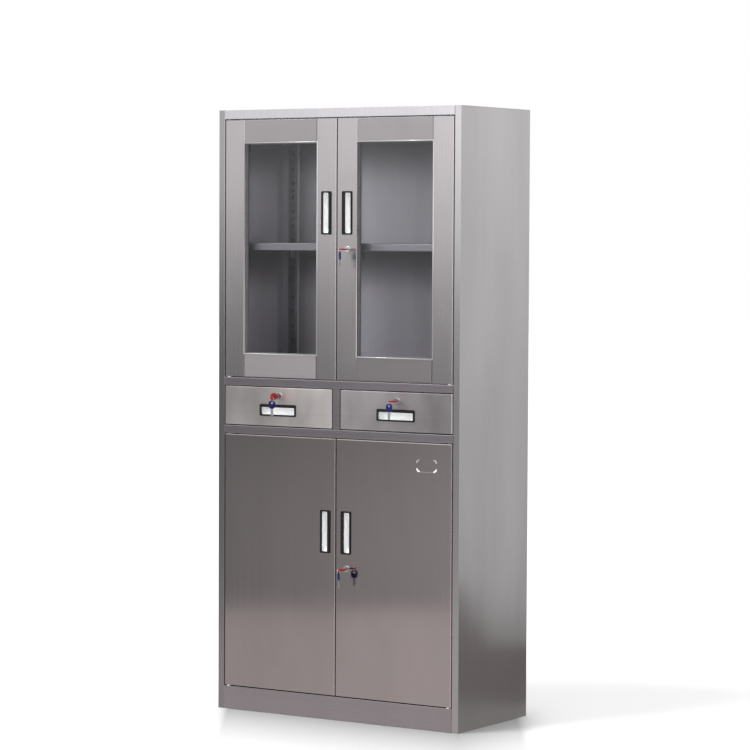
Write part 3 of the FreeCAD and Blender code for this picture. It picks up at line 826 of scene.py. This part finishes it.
class Palette:
    """All finishes of the cabinet, built once."""

    CARCASS = BrushedSteel("carcass_steel", (0.615, 0.598, 0.62), 0.27)
    # The side panels carry painted light and painted shade.
    PANEL = PanelSteel("side_panel_steel", (0.47, 0.458, 0.466), 0.25, line_depth=0.04, cloud_depth=0.32,
                       wave_height=0.003, marks=0.015)
    RAIL = BrushedSteel("rail_steel", (0.44, 0.40, 0.428), 0.27, grain=Grain.ACROSS)
    # The door frames' folded edges get painted highlights.
    FRAME = FrameSteel("door_frame_steel", (0.48, 0.454, 0.466), 0.27, line_depth=0.06,
                       edges=(("X", -0.003), ("X", 0.399)))
    # The lower doors' folded edges get painted highlights.
    DOOR = DoorSteel("lower_door_steel", (0.497, 0.443, 0.45), 0.12, line_depth=0.04,
                     edges=(("X", -0.003), ("X", 0.399), ("Z", 0.83)))
    # Each drawer front has its own painted light; the right one also a painted highlight on its outer edge.
    DRAWERS = {
        "left": DrawerSteel("left_drawer_steel", (0.605, 0.573, 0.566), 0.43),
        "right": DrawerSteel("right_drawer_steel", (0.58, 0.546, 0.564), 0.43, painted_light_centre=0.0, painted_light_peak=0.95,
                             painted_light_fall=0.76, edges=(("X", 0.399),), edge_painted_highlight=0.4),
    }
    INNER = BrushedSteel("inner_steel", (0.345, 0.342, 0.37), 0.44, grain=Grain.MILL, cloud_depth=0.12)
    SHELF = BrushedSteel("shelf_steel", (0.21, 0.208, 0.215), 0.46, grain=Grain.ACROSS, cloud_depth=0.12)
    POST = BrushedSteel("post_steel", (0.15, 0.15, 0.16), 0.40, cloud_depth=0.12)
    # The back panel gets a painted light band and painted shade in each bay.
    BACK = BackSteel("back_panel_steel", (0.31, 0.307, 0.32), 0.40, metallic=0.6, cloud_depth=0.6,
                     cloud_stretch=(8.0, 8.0, 0.6))
    # Partly painted highlight: a real folded lip, whose steel is lighter than the back panel's for a bright
    # line beside each rear post.
    LIP_HIGHLIGHT = BrushedSteel("post_lip_highlight_steel", (0.80, 0.80, 0.83), 0.30, cloud_depth=0.1)
    # Partly painted highlight: a real rolled edge, whose steel is lighter than the frame's for a bright line
    # round the opening.
    BEAD_HIGHLIGHT = BrushedSteel("glazing_bead_highlight_steel", (0.64, 0.63, 0.64), 0.32, cloud_depth=0.1)
    ZINC = PlatedMetal("zinc_steel", (0.62, 0.64, 0.66), 0.32)
    DISH = PlatedMetal("dish_plate", (0.98, 0.98, 0.99), 0.30, metallic=0.12, spangle=0.04, scuffs=0.03)
    CHROME = PlatedMetal("lock_chrome", (0.70, 0.70, 0.72), 0.14, spangle=0.06, scuffs=0.06)
    BEZEL = MouldedPlastic("bezel_plastic", (0.009, 0.009, 0.010), 0.5, specular=0.25)
    SEAL = MouldedPlastic("seal_rubber", (0.17, 0.17, 0.18), 0.62, skin_scale=800.0)
    KEY = MouldedPlastic("key_plastic", (0.37, 0.009, 0.007), 0.3, specular=0.35, wear=0.1)
    SPARE = MouldedPlastic("spare_key_plastic", (0.008, 0.011, 0.11), 0.3, specular=0.35, wear=0.1)
    # Painted shade on the washers at the doors' tops; those at the doors' feet stay pale.
    NYLON = MouldedPlastic("nylon_white", (0.84, 0.84, 0.81), 0.42, lit_heights=(0.071, 1.003))
    CATCH = MouldedPlastic("catch_plastic", (0.72, 0.72, 0.70), 0.45)
    GLASS = ClearGlass("clear_glass", (0.965, 0.96, 1.0), 0.0)
    HANDLE = {"handle_bezel": BEZEL, "handle_dish": DISH}

    def __init__(self) -> None:
        """Build the shared effects."""
        self.effects = SharedEffects()

    @cache
    def get(self, finish: Finish) -> Material:
        """The material of a finish, built when it is first asked for."""
        return finish.build(self.effects)


@dataclass
class Workshop:
    """What every sub-assembly needs: the loaded frame and the palette."""

    frame: dict[str, Any]
    palette: Palette

    def dress(self, finishes: dict[str, Finish], prefix: str = "") -> None:
        """Give CAD nodes their finishes.

        Args:
            finishes: each node's finish, by the node's name without the prefix.
            prefix: how the names start.
        """
        for name, finish in finishes.items():
            slots = self.frame["nodes"][prefix + name].data.materials
            slots.clear()
            slots.append(self.palette.get(finish))
            log.info("dressed %s with %s", prefix + name, finish.name)

    def shape(self, name: str, form: bmesh.types.BMesh, *finishes: Finish) -> Mesh:
        """Turn a worked form into a mesh, and free the form.

        Args:
            name: the mesh's name.
            form: the form.
            finishes: the finishes of its material slots.

        Returns:
            The mesh.
        """
        mesh = bpy.data.meshes.new(name)
        for finish in finishes:
            mesh.materials.append(self.palette.get(finish))
        form.to_mesh(mesh)
        form.free()
        return mesh

    def add(self, name: str, mesh: Mesh, body: str, slot: str) -> Object:
        """Add a piece that rides on a CAD body.

        Args:
            name: the piece's name.
            mesh: its mesh, in place.
            body: the CAD body that it rides on.
            slot: the record's material slot; not used.

        Returns:
            The new object.
        """
        piece = link(name, mesh)
        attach(piece, body)
        log.info("added %s on %s: %d faces", name, body, len(mesh.polygons))
        return piece


@dataclass
class Carcass:
    """The folded steel body with its decks, posts, shelves and fixed fittings."""

    shop: Workshop

    def dress(self) -> None:
        """Give each fixed node its finish."""
        self.shop.dress({
            "side_panel_left": Palette.PANEL, "side_panel_right": Palette.PANEL,
            "top_panel": Palette.CARCASS, "back_panel": Palette.BACK, "bottom_panel": Palette.RAIL,
            "base_stiffener": Palette.INNER, "upper_deck": Palette.RAIL, "lower_deck": Palette.RAIL,
            "drawer_divider": Palette.RAIL, "shelf_posts": Palette.POST, "shelf_clips": Palette.ZINC,
            "shelves": Palette.SHELF, "hinge_pins": Palette.ZINC, "hinge_washers": Palette.NYLON,
            "door_catches": Palette.CATCH, "runner_outer_rails": Palette.ZINC,
        })


@dataclass
class PostLips:
    """The folded lips of the rear shelf posts, which lie against the back panel."""

    shop: Workshop
    post_face: float = 0.403
    width: float = 0.007
    depth: float = 0.0016
    round_share: float = 0.45
    round_steps: int = 3
    spans: tuple[Pair, ...] = ((0.074, 0.832), (1.004, 1.770))

    def build(self) -> None:
        """Build a bevelled strip beside each rear post."""
        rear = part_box("shelf_posts")[1].y
        form = bmesh.new()
        for hand in (-1.0, 1.0):
            for foot, top in self.spans:
                size = (self.width, self.depth, top - foot, 1.0)
                centre = (hand * (self.post_face - self.width / 2), rear - self.depth / 2, (foot + top) / 2)
                place = Matrix.Translation(centre) @ Matrix.Diagonal(size)
                bmesh.ops.create_cube(form, size=1.0, matrix=place)
        bmesh.ops.bevel(form, geom=list(form.edges), offset=self.depth * self.round_share,
                        segments=self.round_steps, affect="EDGES", profile=0.5)
        # The lips' lighter steel is a painted highlight.
        mesh = self.shop.shape("rear_post_lips", form, Palette.LIP_HIGHLIGHT)
        self.shop.add("rear_post_lips", mesh, "carcass", "inner_steel")


@dataclass
class BackScrews:
    """Pan head screws that hold the back panel, set along its edges."""

    shop: Workshop
    inset: float = 0.016
    pitch: float = 0.185
    head_radius: float = 0.0045
    head_height: float = 0.0022
    head_sides: int = 20
    head_taper: float = 0.62
    recess_width: float = 0.0013
    recess_length: float = 1.05
    recess_lift: float = 0.9

    def tree(self) -> NodeTree:
        """Geometry nodes that set cross recessed heads along a path.

        Returns:
            The node tree.
        """
        board = GroupBoard("screw_row", {
            "Path": "Geometry", "Pitch": "Float", "Head Radius": "Float", "Head Height": "Float",
            "Recess Width": "Float", "Finish": "Material",
        }, {"Screws": "Geometry"}, "Geometry")
        path, pitch, radius, height, width, finish = board.given.values()
        line = board.out("GeometryNodeMeshToCurve", {"Mesh": path})
        spots = board.out("GeometryNodeResampleCurve", {"Curve": line, "Length": pitch}, mode="LENGTH")
        head = board.out("GeometryNodeMeshCone", {"Vertices": self.head_sides, "Radius Bottom": radius,
                                                  "Radius Top": radius * self.head_taper, "Depth": height})
        cut = board.add("GeometryNodeMeshBoolean", {"Mesh 1": head}, operation="DIFFERENCE")
        length = radius * self.recess_length
        lift = board.out("ShaderNodeCombineXYZ", {2: height * self.recess_lift})
        for sides in ((length, width), (width, length)):
            size = board.out("ShaderNodeCombineXYZ", dict(enumerate((*sides, height))))
            bar = board.out("GeometryNodeMeshCube", {"Size": size})
            raised = board.out("GeometryNodeTransform", {"Geometry": bar, "Translation": lift})
            board.feed(cut.inputs["Mesh 2"], raised)
        turn = {"Geometry": cut.outputs["Mesh"], "Rotation": (-math.pi / 2, 0.0, 0.0)}
        laid = board.out("GeometryNodeTransform", turn)
        spread = board.out("GeometryNodeInstanceOnPoints", {"Points": spots, "Instance": laid})
        real = board.out("GeometryNodeRealizeInstances", {"Geometry": spread})
        coated = board.out("GeometryNodeSetMaterial", {"Geometry": real, "Material": finish})
        return board.close(Screws=coated)

    def path(self) -> Mesh:
        """Rectangle of edges on the outside of the back panel.

        Returns:
            The mesh.
        """
        low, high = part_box("back_panel")
        x, y, foot, top = high.x - self.inset, high.y, low.z + self.inset, high.z - self.inset
        mesh = bpy.data.meshes.new("back_screw_path")
        mesh.from_pydata([(-x, y, foot), (x, y, foot), (x, y, top), (-x, y, top)],
                         [(0, 1), (1, 2), (2, 3), (3, 0)], [])
        return mesh

    def build(self) -> None:
        """Make all screws as one piece."""
        tree = self.tree()
        holder = link("back_screw_path", self.path())
        modifier = holder.modifiers.new("screws", "NODES")
        modifier.node_group = tree
        values = {"Pitch": self.pitch, "Head Radius": self.head_radius, "Head Height": self.head_height,
                  "Recess Width": self.recess_width, "Finish": self.shop.palette.get(Palette.ZINC)}
        for item in tree.interface.items_tree:
            if item.in_out == "INPUT" and item.name in values:
                modifier[item.identifier] = values[item.name]
        shown = holder.evaluated_get(bpy.context.evaluated_depsgraph_get())
        mesh = bpy.data.meshes.new_from_object(shown)
        bpy.data.objects.remove(holder)
        self.shop.add("back_panel_screws", mesh, "carcass", "zinc_steel")


@dataclass
class GlazedDoor:
    """An upper door: frame, pane, seal and recessed handle."""

    shop: Workshop
    side: str

    def dress(self) -> None:
        """Give the door's nodes their finishes, and let light through the pane."""
        self.shop.dress({"door_frame": Palette.FRAME, "glass": Palette.GLASS, "glazing_seal": Palette.SEAL,
                         **Palette.HANDLE}, f"upper_{self.side}_")
        pane = self.shop.frame["nodes"][f"upper_{self.side}_glass"]
        pane.visible_shadow = False
        pane.visible_diffuse = False


@dataclass
class GlazingBead:
    """The rolled edge round an upper door's opening."""

    shop: Workshop
    side: str
    opening_x: Pair = (0.0715, 0.3305)
    opening_z: Pair = (1.0745, 1.6995)
    face: float = -0.195
    radius: float = 0.0017
    flatness: float = 0.8
    steps: int = 8

    def build(self) -> None:
        """Sweep a half round along the opening, mitred at its corners."""
        x0, x1 = sorted(HANDS[self.side] * x for x in self.opening_x)
        z0, z1 = self.opening_z
        form = bmesh.new()
        rings = []
        for x, z, out_x, out_z in ((x0, z0, -1, -1), (x1, z0, 1, -1), (x1, z1, 1, 1), (x0, z1, -1, 1)):
            ring = []
            for step in range(self.steps + 1):
                angle = math.pi * step / self.steps
                out = self.radius * (1.0 - math.cos(angle))
                front = self.face - self.radius * math.sin(angle) * self.flatness
                ring.append(form.verts.new((x + out_x * out, front, z + out_z * out)))
            rings.append(ring)
        for index, ring in enumerate(rings):
            after = rings[(index + 1) % len(rings)]
            for step in range(self.steps):
                form.faces.new((ring[step], after[step], after[step + 1], ring[step + 1])).smooth = True
            form.faces.new((ring[-1], after[-1], after[0], ring[0]))
        bmesh.ops.recalc_face_normals(form, faces=list(form.faces))
        name = f"upper_{self.side}_glazing_bead"
        # The bead's lighter steel is partly a painted highlight.
        mesh = self.shop.shape(name, form, Palette.BEAD_HIGHLIGHT)
        self.shop.add(name, mesh, f"upper_{self.side}_door", "front_steel")


@dataclass
class SolidDoor:
    """A lower door: folded skin and recessed handle."""

    shop: Workshop
    side: str

    def dress(self) -> None:
        """Give the door's nodes their finishes."""
        self.shop.dress({"door_skin": Palette.DOOR, **Palette.HANDLE}, f"lower_{self.side}_")


@dataclass
class Drawer:
    """A drawer: front, tray, runners and recessed handle."""

    shop: Workshop
    side: str

    def dress(self) -> None:
        """Give the drawer's nodes their finishes."""
        finishes = {"front": Palette.DRAWERS[self.side], "tray": Palette.INNER, "inner_rails": Palette.ZINC,
                    "middle_rails": Palette.ZINC, **Palette.HANDLE}
        self.shop.dress(finishes, f"{self.side}_drawer_")


@dataclass
class LockSet:
    """A cam lock with the key in it and the spare key on its wire ring."""

    shop: Workshop
    name: str
    bow_start: float = 0.007
    spare_blade: float = 0.022
    merge_reach: float = 0.00001
    edge_round: float = 0.00035
    round_steps: int = 2
    crease_deg: float = 40.0

    def islands(self, mesh: bmesh.types.BMesh) -> list[list[bmesh.types.BMFace]]:
        """Separate solids of a mesh, from the one that reaches lowest.

        Args:
            mesh: the merged mesh.

        Returns:
            The faces of each solid.
        """
        left = set(mesh.verts)
        found = []
        while left:
            stack = [left.pop()]
            group = set(stack)
            while stack:
                corner = stack.pop()
                fresh = {edge.other_vert(corner) for edge in corner.link_edges} - group
                group |= fresh
                stack += fresh
            left -= group
            found.append(group)
        found.sort(key=lambda group: min(corner.co.z for corner in group))
        return [list({face for corner in group for face in corner.link_faces}) for group in found]

    def key_piece(self, node: str, body: str, slot: str, bow: Finish,
                  on_blade: Callable[[Vector], bool]) -> None:
        """Stand in for a key node with a softened copy whose bow and steel have their own finishes.

        Args:
            node: the CAD node.
            body: the CAD body that it rides on.
            slot: the record's material slot.
            bow: the bow's finish.
            on_blade: whether a point of the key is on its blade.
        """
        form = bmesh.new()
        form.from_mesh(self.shop.frame["nodes"][node].data)
        bmesh.ops.remove_doubles(form, verts=form.verts, dist=self.merge_reach)
        for index, faces in enumerate(self.islands(form)):
            for face in faces:
                face.material_index = int(index > 0 or on_blade(face.calc_center_median()))
        mesh = self.shop.shape(f"{node}_dressed", form, bow, Palette.ZINC)
        mesh.shade_smooth()
        mesh.set_sharp_from_angle(angle=math.radians(self.crease_deg))
        piece = self.shop.add(f"{node}_dressed", mesh, body, slot)
        rounding = piece.modifiers.new("edge_round", "BEVEL")
        rounding.width = self.edge_round
        rounding.segments = self.round_steps
        rounding.limit_method = "ANGLE"
        rounding.angle_limit = math.radians(self.crease_deg)
        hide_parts(node)

    def build(self) -> None:
        """Dress the lock, and build the two keys."""
        self.shop.dress({"lock_barrel": Palette.CHROME, "lock_plug": Palette.CHROME}, f"{self.name}_")
        bow_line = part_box("top_panel")[0].y - self.bow_start
        self.key_piece(f"{self.name}_key", f"{self.name}_inserted_key", "key_plastic", Palette.KEY,
                       lambda point: point.y > bow_line)
        spare_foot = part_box(f"{self.name}_spare_key")[0].z + self.spare_blade
        self.key_piece(f"{self.name}_spare_key", f"{self.name}_hanging_key", "spare_key_plastic",
                       Palette.SPARE, lambda point: point.z < spare_foot)


@dataclass(frozen=True)
class StudioCard:
    """A soft grey card beside the camera's view that the brushed steel reflects, and its mirror image.

    The stops are heights and their levels. The top edge is level, or follows the crest: places along the card
    and their heights. The lean is how much brighter the card gets along each metre. A hand is one at the
    right, and minus one at the left.
    """

    name: str
    bearing_deg: float
    distance: float
    width: float
    stops: tuple[Pair, ...]
    tint: Colour = (1.0, 1.0, 1.0)
    crest: tuple[Pair, ...] = ()
    lean: float = 0.0

    def glow(self, board: Board, hand: float) -> dict[str, Any]:
        """A glow that changes with height and along the card.

        Args:
            board: the card's tree.
            hand: the card's hand.

        Returns:
            What the glow's inputs get.
        """
        x, y, z = board.axes(board.add("ShaderNodeTexCoord").outputs["Object"])
        height = self.stops[-1][0]
        ramp = board.add("ShaderNodeValToRGB", {0: z / height})
        ramp.color_ramp.interpolation = "EASE"
        points = ramp.color_ramp.elements
        while len(points) < len(self.stops):
            points.new(0.5)
        for point, (level_height, level) in zip(points, self.stops):
            point.position = level_height / height
            point.color = tinted(level, self.tint)
        way = along(self.bearing_deg * hand)
        strength = (x * way.x + y * way.y) * (self.lean * hand) + 1.0
        return {"Color": ramp.outputs[0], "Strength": strength}

    def corners(self, hand: float) -> list[Vector]:
        """Foot and top of each place along the card.

        Args:
            hand: the card's hand.

        Returns:
            The corners in pairs, from one end to the other.
        """
        out = toward(self.bearing_deg * hand) * self.distance
        way = along(self.bearing_deg * hand)
        half, height = hand * self.width / 2, self.stops[-1][0]
        corners: list[Vector] = []
        for place, top in self.crest or ((-half, height), (half, height)):
            foot = out + way * (place * hand)
            corners += [foot, foot + Vector((0.0, 0.0, top))]
        return corners


@dataclass(frozen=True)
class Lamp:
    """A light that looks at the cabinet's middle.

    The spread is a sun's angle in degrees, or the side of a square lamp in metres.
    """

    name: str
    kind: LampKind
    bearing_deg: float
    elevation_deg: float
    distance: float
    energy: float
    spread: float
    aim_height: float = 0.9

    def build(self) -> None:
        """Hang the light. Only a square lamp shows as a shine on rounded edges."""
        data = bpy.data.lights.new(self.name, self.kind.value)
        data.energy = self.energy
        if self.kind is LampKind.SUN:
            data.angle = math.radians(self.spread)
        else:
            data.size = self.spread
        holder = link(self.name, data)
        holder.visible_glossy = self.kind is LampKind.SQUARE
        back = toward(self.bearing_deg, self.elevation_deg)
        turn = (-back).to_track_quat("-Z", "Y").to_matrix().to_4x4()
        place = back * self.distance + Vector((0.0, 0.0, self.aim_height))
        holder.matrix_world = Matrix.Translation(place) @ turn


@dataclass
class Studio:
    """Floor, backdrop light, lamps, cards and the camera."""

    camera_place: Triple = (4.90211, -7.51754, 1.4350)
    azimuth_deg: float = 33.06
    elevation_deg: float = 2.70
    roll_deg: float = 0.26
    lens_mm: float = 144.46
    sensor_mm: float = 36.0
    sight: float = 200.0
    ambient: float = 0.55
    floor_reach: float = 30.0
    floor_colour: Colour = (0.93, 0.93, 0.93)
    floor_roughness: float = 0.9
    floor_specular: float = 0.1
    floor_lift: float = 0.41
    shade_depth: float = 0.65
    shade_reach: float = 0.7
    shade_inset: float = 0.03
    shade_behind: float = 7.0
    shade_aside: float = 17.0
    lamps: tuple[Lamp, ...] = (
        Lamp("key_light", LampKind.SUN, -36.0, 25.0, 6.0, 1.75, 34.0),
        Lamp("edge_lamp", LampKind.SQUARE, -20.0, 68.0, 4.5, 90.0, 0.9),
        Lamp("corner_lamp", LampKind.SQUARE, 35.0, 14.0, 6.0, 25.0, 0.8),
    )
    cards: tuple[StudioCard, ...] = (
        StudioCard("front_card", -33.0, 2.8, 5.4, (
            (0.0, 0.28), (0.2, 0.32), (0.4, 0.315), (0.6, 0.285), (0.78, 0.235), (0.98, 0.225),
            (1.22, 0.47), (1.6, 1.14), (3.2, 1.2),
        ), lean=0.34),
        StudioCard("side_card", 147.0, 2.6, 3.6,
                   ((0.0, 0.62), (0.5, 0.70), (1.2, 0.84), (2.0, 1.0), (3.0, 1.0))),
        StudioCard("low_side_card", 147.0, 0.62, 2.2, ((0.0, 0.23), (0.22, 0.24), (0.34, 0.28), (0.40, 0.45)),
                   tint=(1.0, 0.88, 0.88), crest=((-1.1, 0.40), (-0.46, 0.38), (-0.37, 0.19), (1.1, 0.18))),
    )
    floor_cards: tuple[tuple[str, Pair, Pair, float], ...] = (
        ("front_floor_card", (-4.0, 4.0), (-4.5, -0.198), 0.56),
        ("right_floor_card", (0.428, 4.0), (-0.198, 4.0), 0.34),
        ("left_floor_card", (-4.0, -0.428), (-0.198, 4.0), 0.34),
        ("rear_floor_card", (-0.428, 0.428), (0.2, 4.0), 0.34),
    )
    floor_card_tint: Colour = (1.0, 0.955, 0.92)
    floor_card_height: float = 0.0015

    def camera(self) -> None:
        """Set up the camera at the photograph's viewing angle."""
        back = toward(self.azimuth_deg, self.elevation_deg)
        right = along(self.azimuth_deg)
        up = back.cross(right)
        roll = math.radians(self.roll_deg)
        across = right * math.cos(roll) + up * math.sin(roll)
        upward = up * math.cos(roll) - right * math.sin(roll)
        lens = bpy.data.cameras.new("camera")
        lens.lens = self.lens_mm
        lens.sensor_width = self.sensor_mm
        lens.clip_end = self.sight
        viewer = link("camera", lens)
        turn = Matrix((across, upward, back)).transposed().to_4x4()
        viewer.matrix_world = Matrix.Translation(self.camera_place) @ turn
        bpy.context.scene.camera = viewer

    def backdrop(self) -> None:
        """White to the eye and in reflections, a softer light on everything else."""
        world = bpy.data.worlds.new("studio")
        bpy.context.scene.world = world
        world.use_nodes = True
        board = Board(world.node_tree)
        soft = world.node_tree.nodes["Background"]
        board.fill(soft.inputs, {"Color": WHITE, "Strength": self.ambient})
        white = board.out("ShaderNodeBackground", {"Color": WHITE, "Strength": 1.0})
        mix = board.out("ShaderNodeMixShader", {0: board.seen(), 1: soft.outputs[0], 2: white})
        board.feed(world.node_tree.nodes["World Output"].inputs["Surface"], mix)

    def shade(self, board: Board) -> Term:
        """The floor's tone: one far off, and less before the foot, towards the camera's side.

        Args:
            board: the floor's tree.

        Returns:
            The tone.
        """
        low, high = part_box("bottom_panel")
        bearing = math.radians(self.azimuth_deg)
        cosine, sine = math.cos(bearing), math.sin(bearing)
        x, y, _ = board.axes(board.add("ShaderNodeTexCoord").outputs["Object"])
        near = ((low.y - y) / cosine).most((x - high.x) / sine)
        off = near.most(near * -self.shade_behind)
        half_view = high.x * cosine + high.y * sine - self.shade_inset
        aside = (abs(y * sine + x * cosine) - half_view).most(0.0)
        fade = ((aside * self.shade_aside + off) / -self.shade_reach).exp()
        return fade * -self.shade_depth + 1.0

    def floor(self) -> None:
        """A plain pale floor, softly shaded before the cabinet."""
        material = bpy.data.materials.new("pale_floor")
        material.use_nodes = True
        board = Board(material.node_tree)
        tone = self.shade(board)
        board.fill(material.node_tree.nodes["Principled BSDF"].inputs, {
            "Base Color": board.tinted(self.floor_colour, tone), "Roughness": self.floor_roughness,
            "Specular IOR Level": self.floor_specular, "Emission Color": WHITE,
            "Emission Strength": board.seen() * self.floor_lift * tone,
        })
        span = (-self.floor_reach, self.floor_reach)
        sheet("floor", level_corners(span, span, 0.0), ONE_FACE, material)

    def put_up(self, name: str, corners: Sequence[Any], faces: Sequence[Any],
               glow: Callable[[Board], dict[str, Any]]) -> None:
        """Add a card that glows for reflections alone.

        Args:
            name: the card's name.
            corners: its corners, in place.
            faces: the corners of each face.
            glow: says what the inputs of the glow get, on the card's tree.
        """
        material = bpy.data.materials.new(name)
        material.use_nodes = True
        board = Board(material.node_tree)
        nodes = material.node_tree.nodes
        nodes.remove(nodes["Principled BSDF"])
        light = board.out("ShaderNodeEmission", glow(board))
        board.feed(nodes["Material Output"].inputs["Surface"], light)
        card = sheet(name, corners, faces, material)
        card.visible_camera = False
        card.visible_diffuse = False
        card.visible_shadow = False

    def build(self) -> None:
        """Build the whole studio."""
        bpy.context.scene.view_settings.view_transform = "Standard"
        self.camera()
        self.backdrop()
        self.floor()
        for lamp in self.lamps:
            lamp.build()
        for side, hand in HANDS.items():
            for card in self.cards:
                corners = card.corners(hand)
                strips = [(i, i + 2, i + 3, i + 1) for i in range(0, len(corners) - 2, 2)]
                self.put_up(f"{card.name}_{side}", corners, strips, lambda board: card.glow(board, hand))
        for name, x_range, y_range, level in self.floor_cards:
            corners = level_corners(x_range, y_range, self.floor_card_height)
            colour = tinted(level, self.floor_card_tint)
            self.put_up(name, corners, ONE_FACE, lambda board: {"Color": colour})


def main() -> None:
    """Build the cabinet's looks and the studio round it."""
    logging.basicConfig(level=logging.INFO, format="%(name)s: %(message)s")
    for name in ("Cube", "Light", "Camera"):
        if name in bpy.data.objects:
            bpy.data.objects.remove(bpy.data.objects[name])
    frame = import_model()
    shop = Workshop(frame, Palette())
    Carcass(shop).dress()
    BackScrews(shop).build()
    PostLips(shop).build()
    for side in SIDES:
        GlazedDoor(shop, side).dress()
        GlazingBead(shop, side).build()
        SolidDoor(shop, side).dress()
        Drawer(shop, side).dress()
    for name in ("upper_door", "lower_door", "left_drawer", "right_drawer"):
        LockSet(shop, name).build()
    Studio().build()


if __name__ == "__main__":
    main()
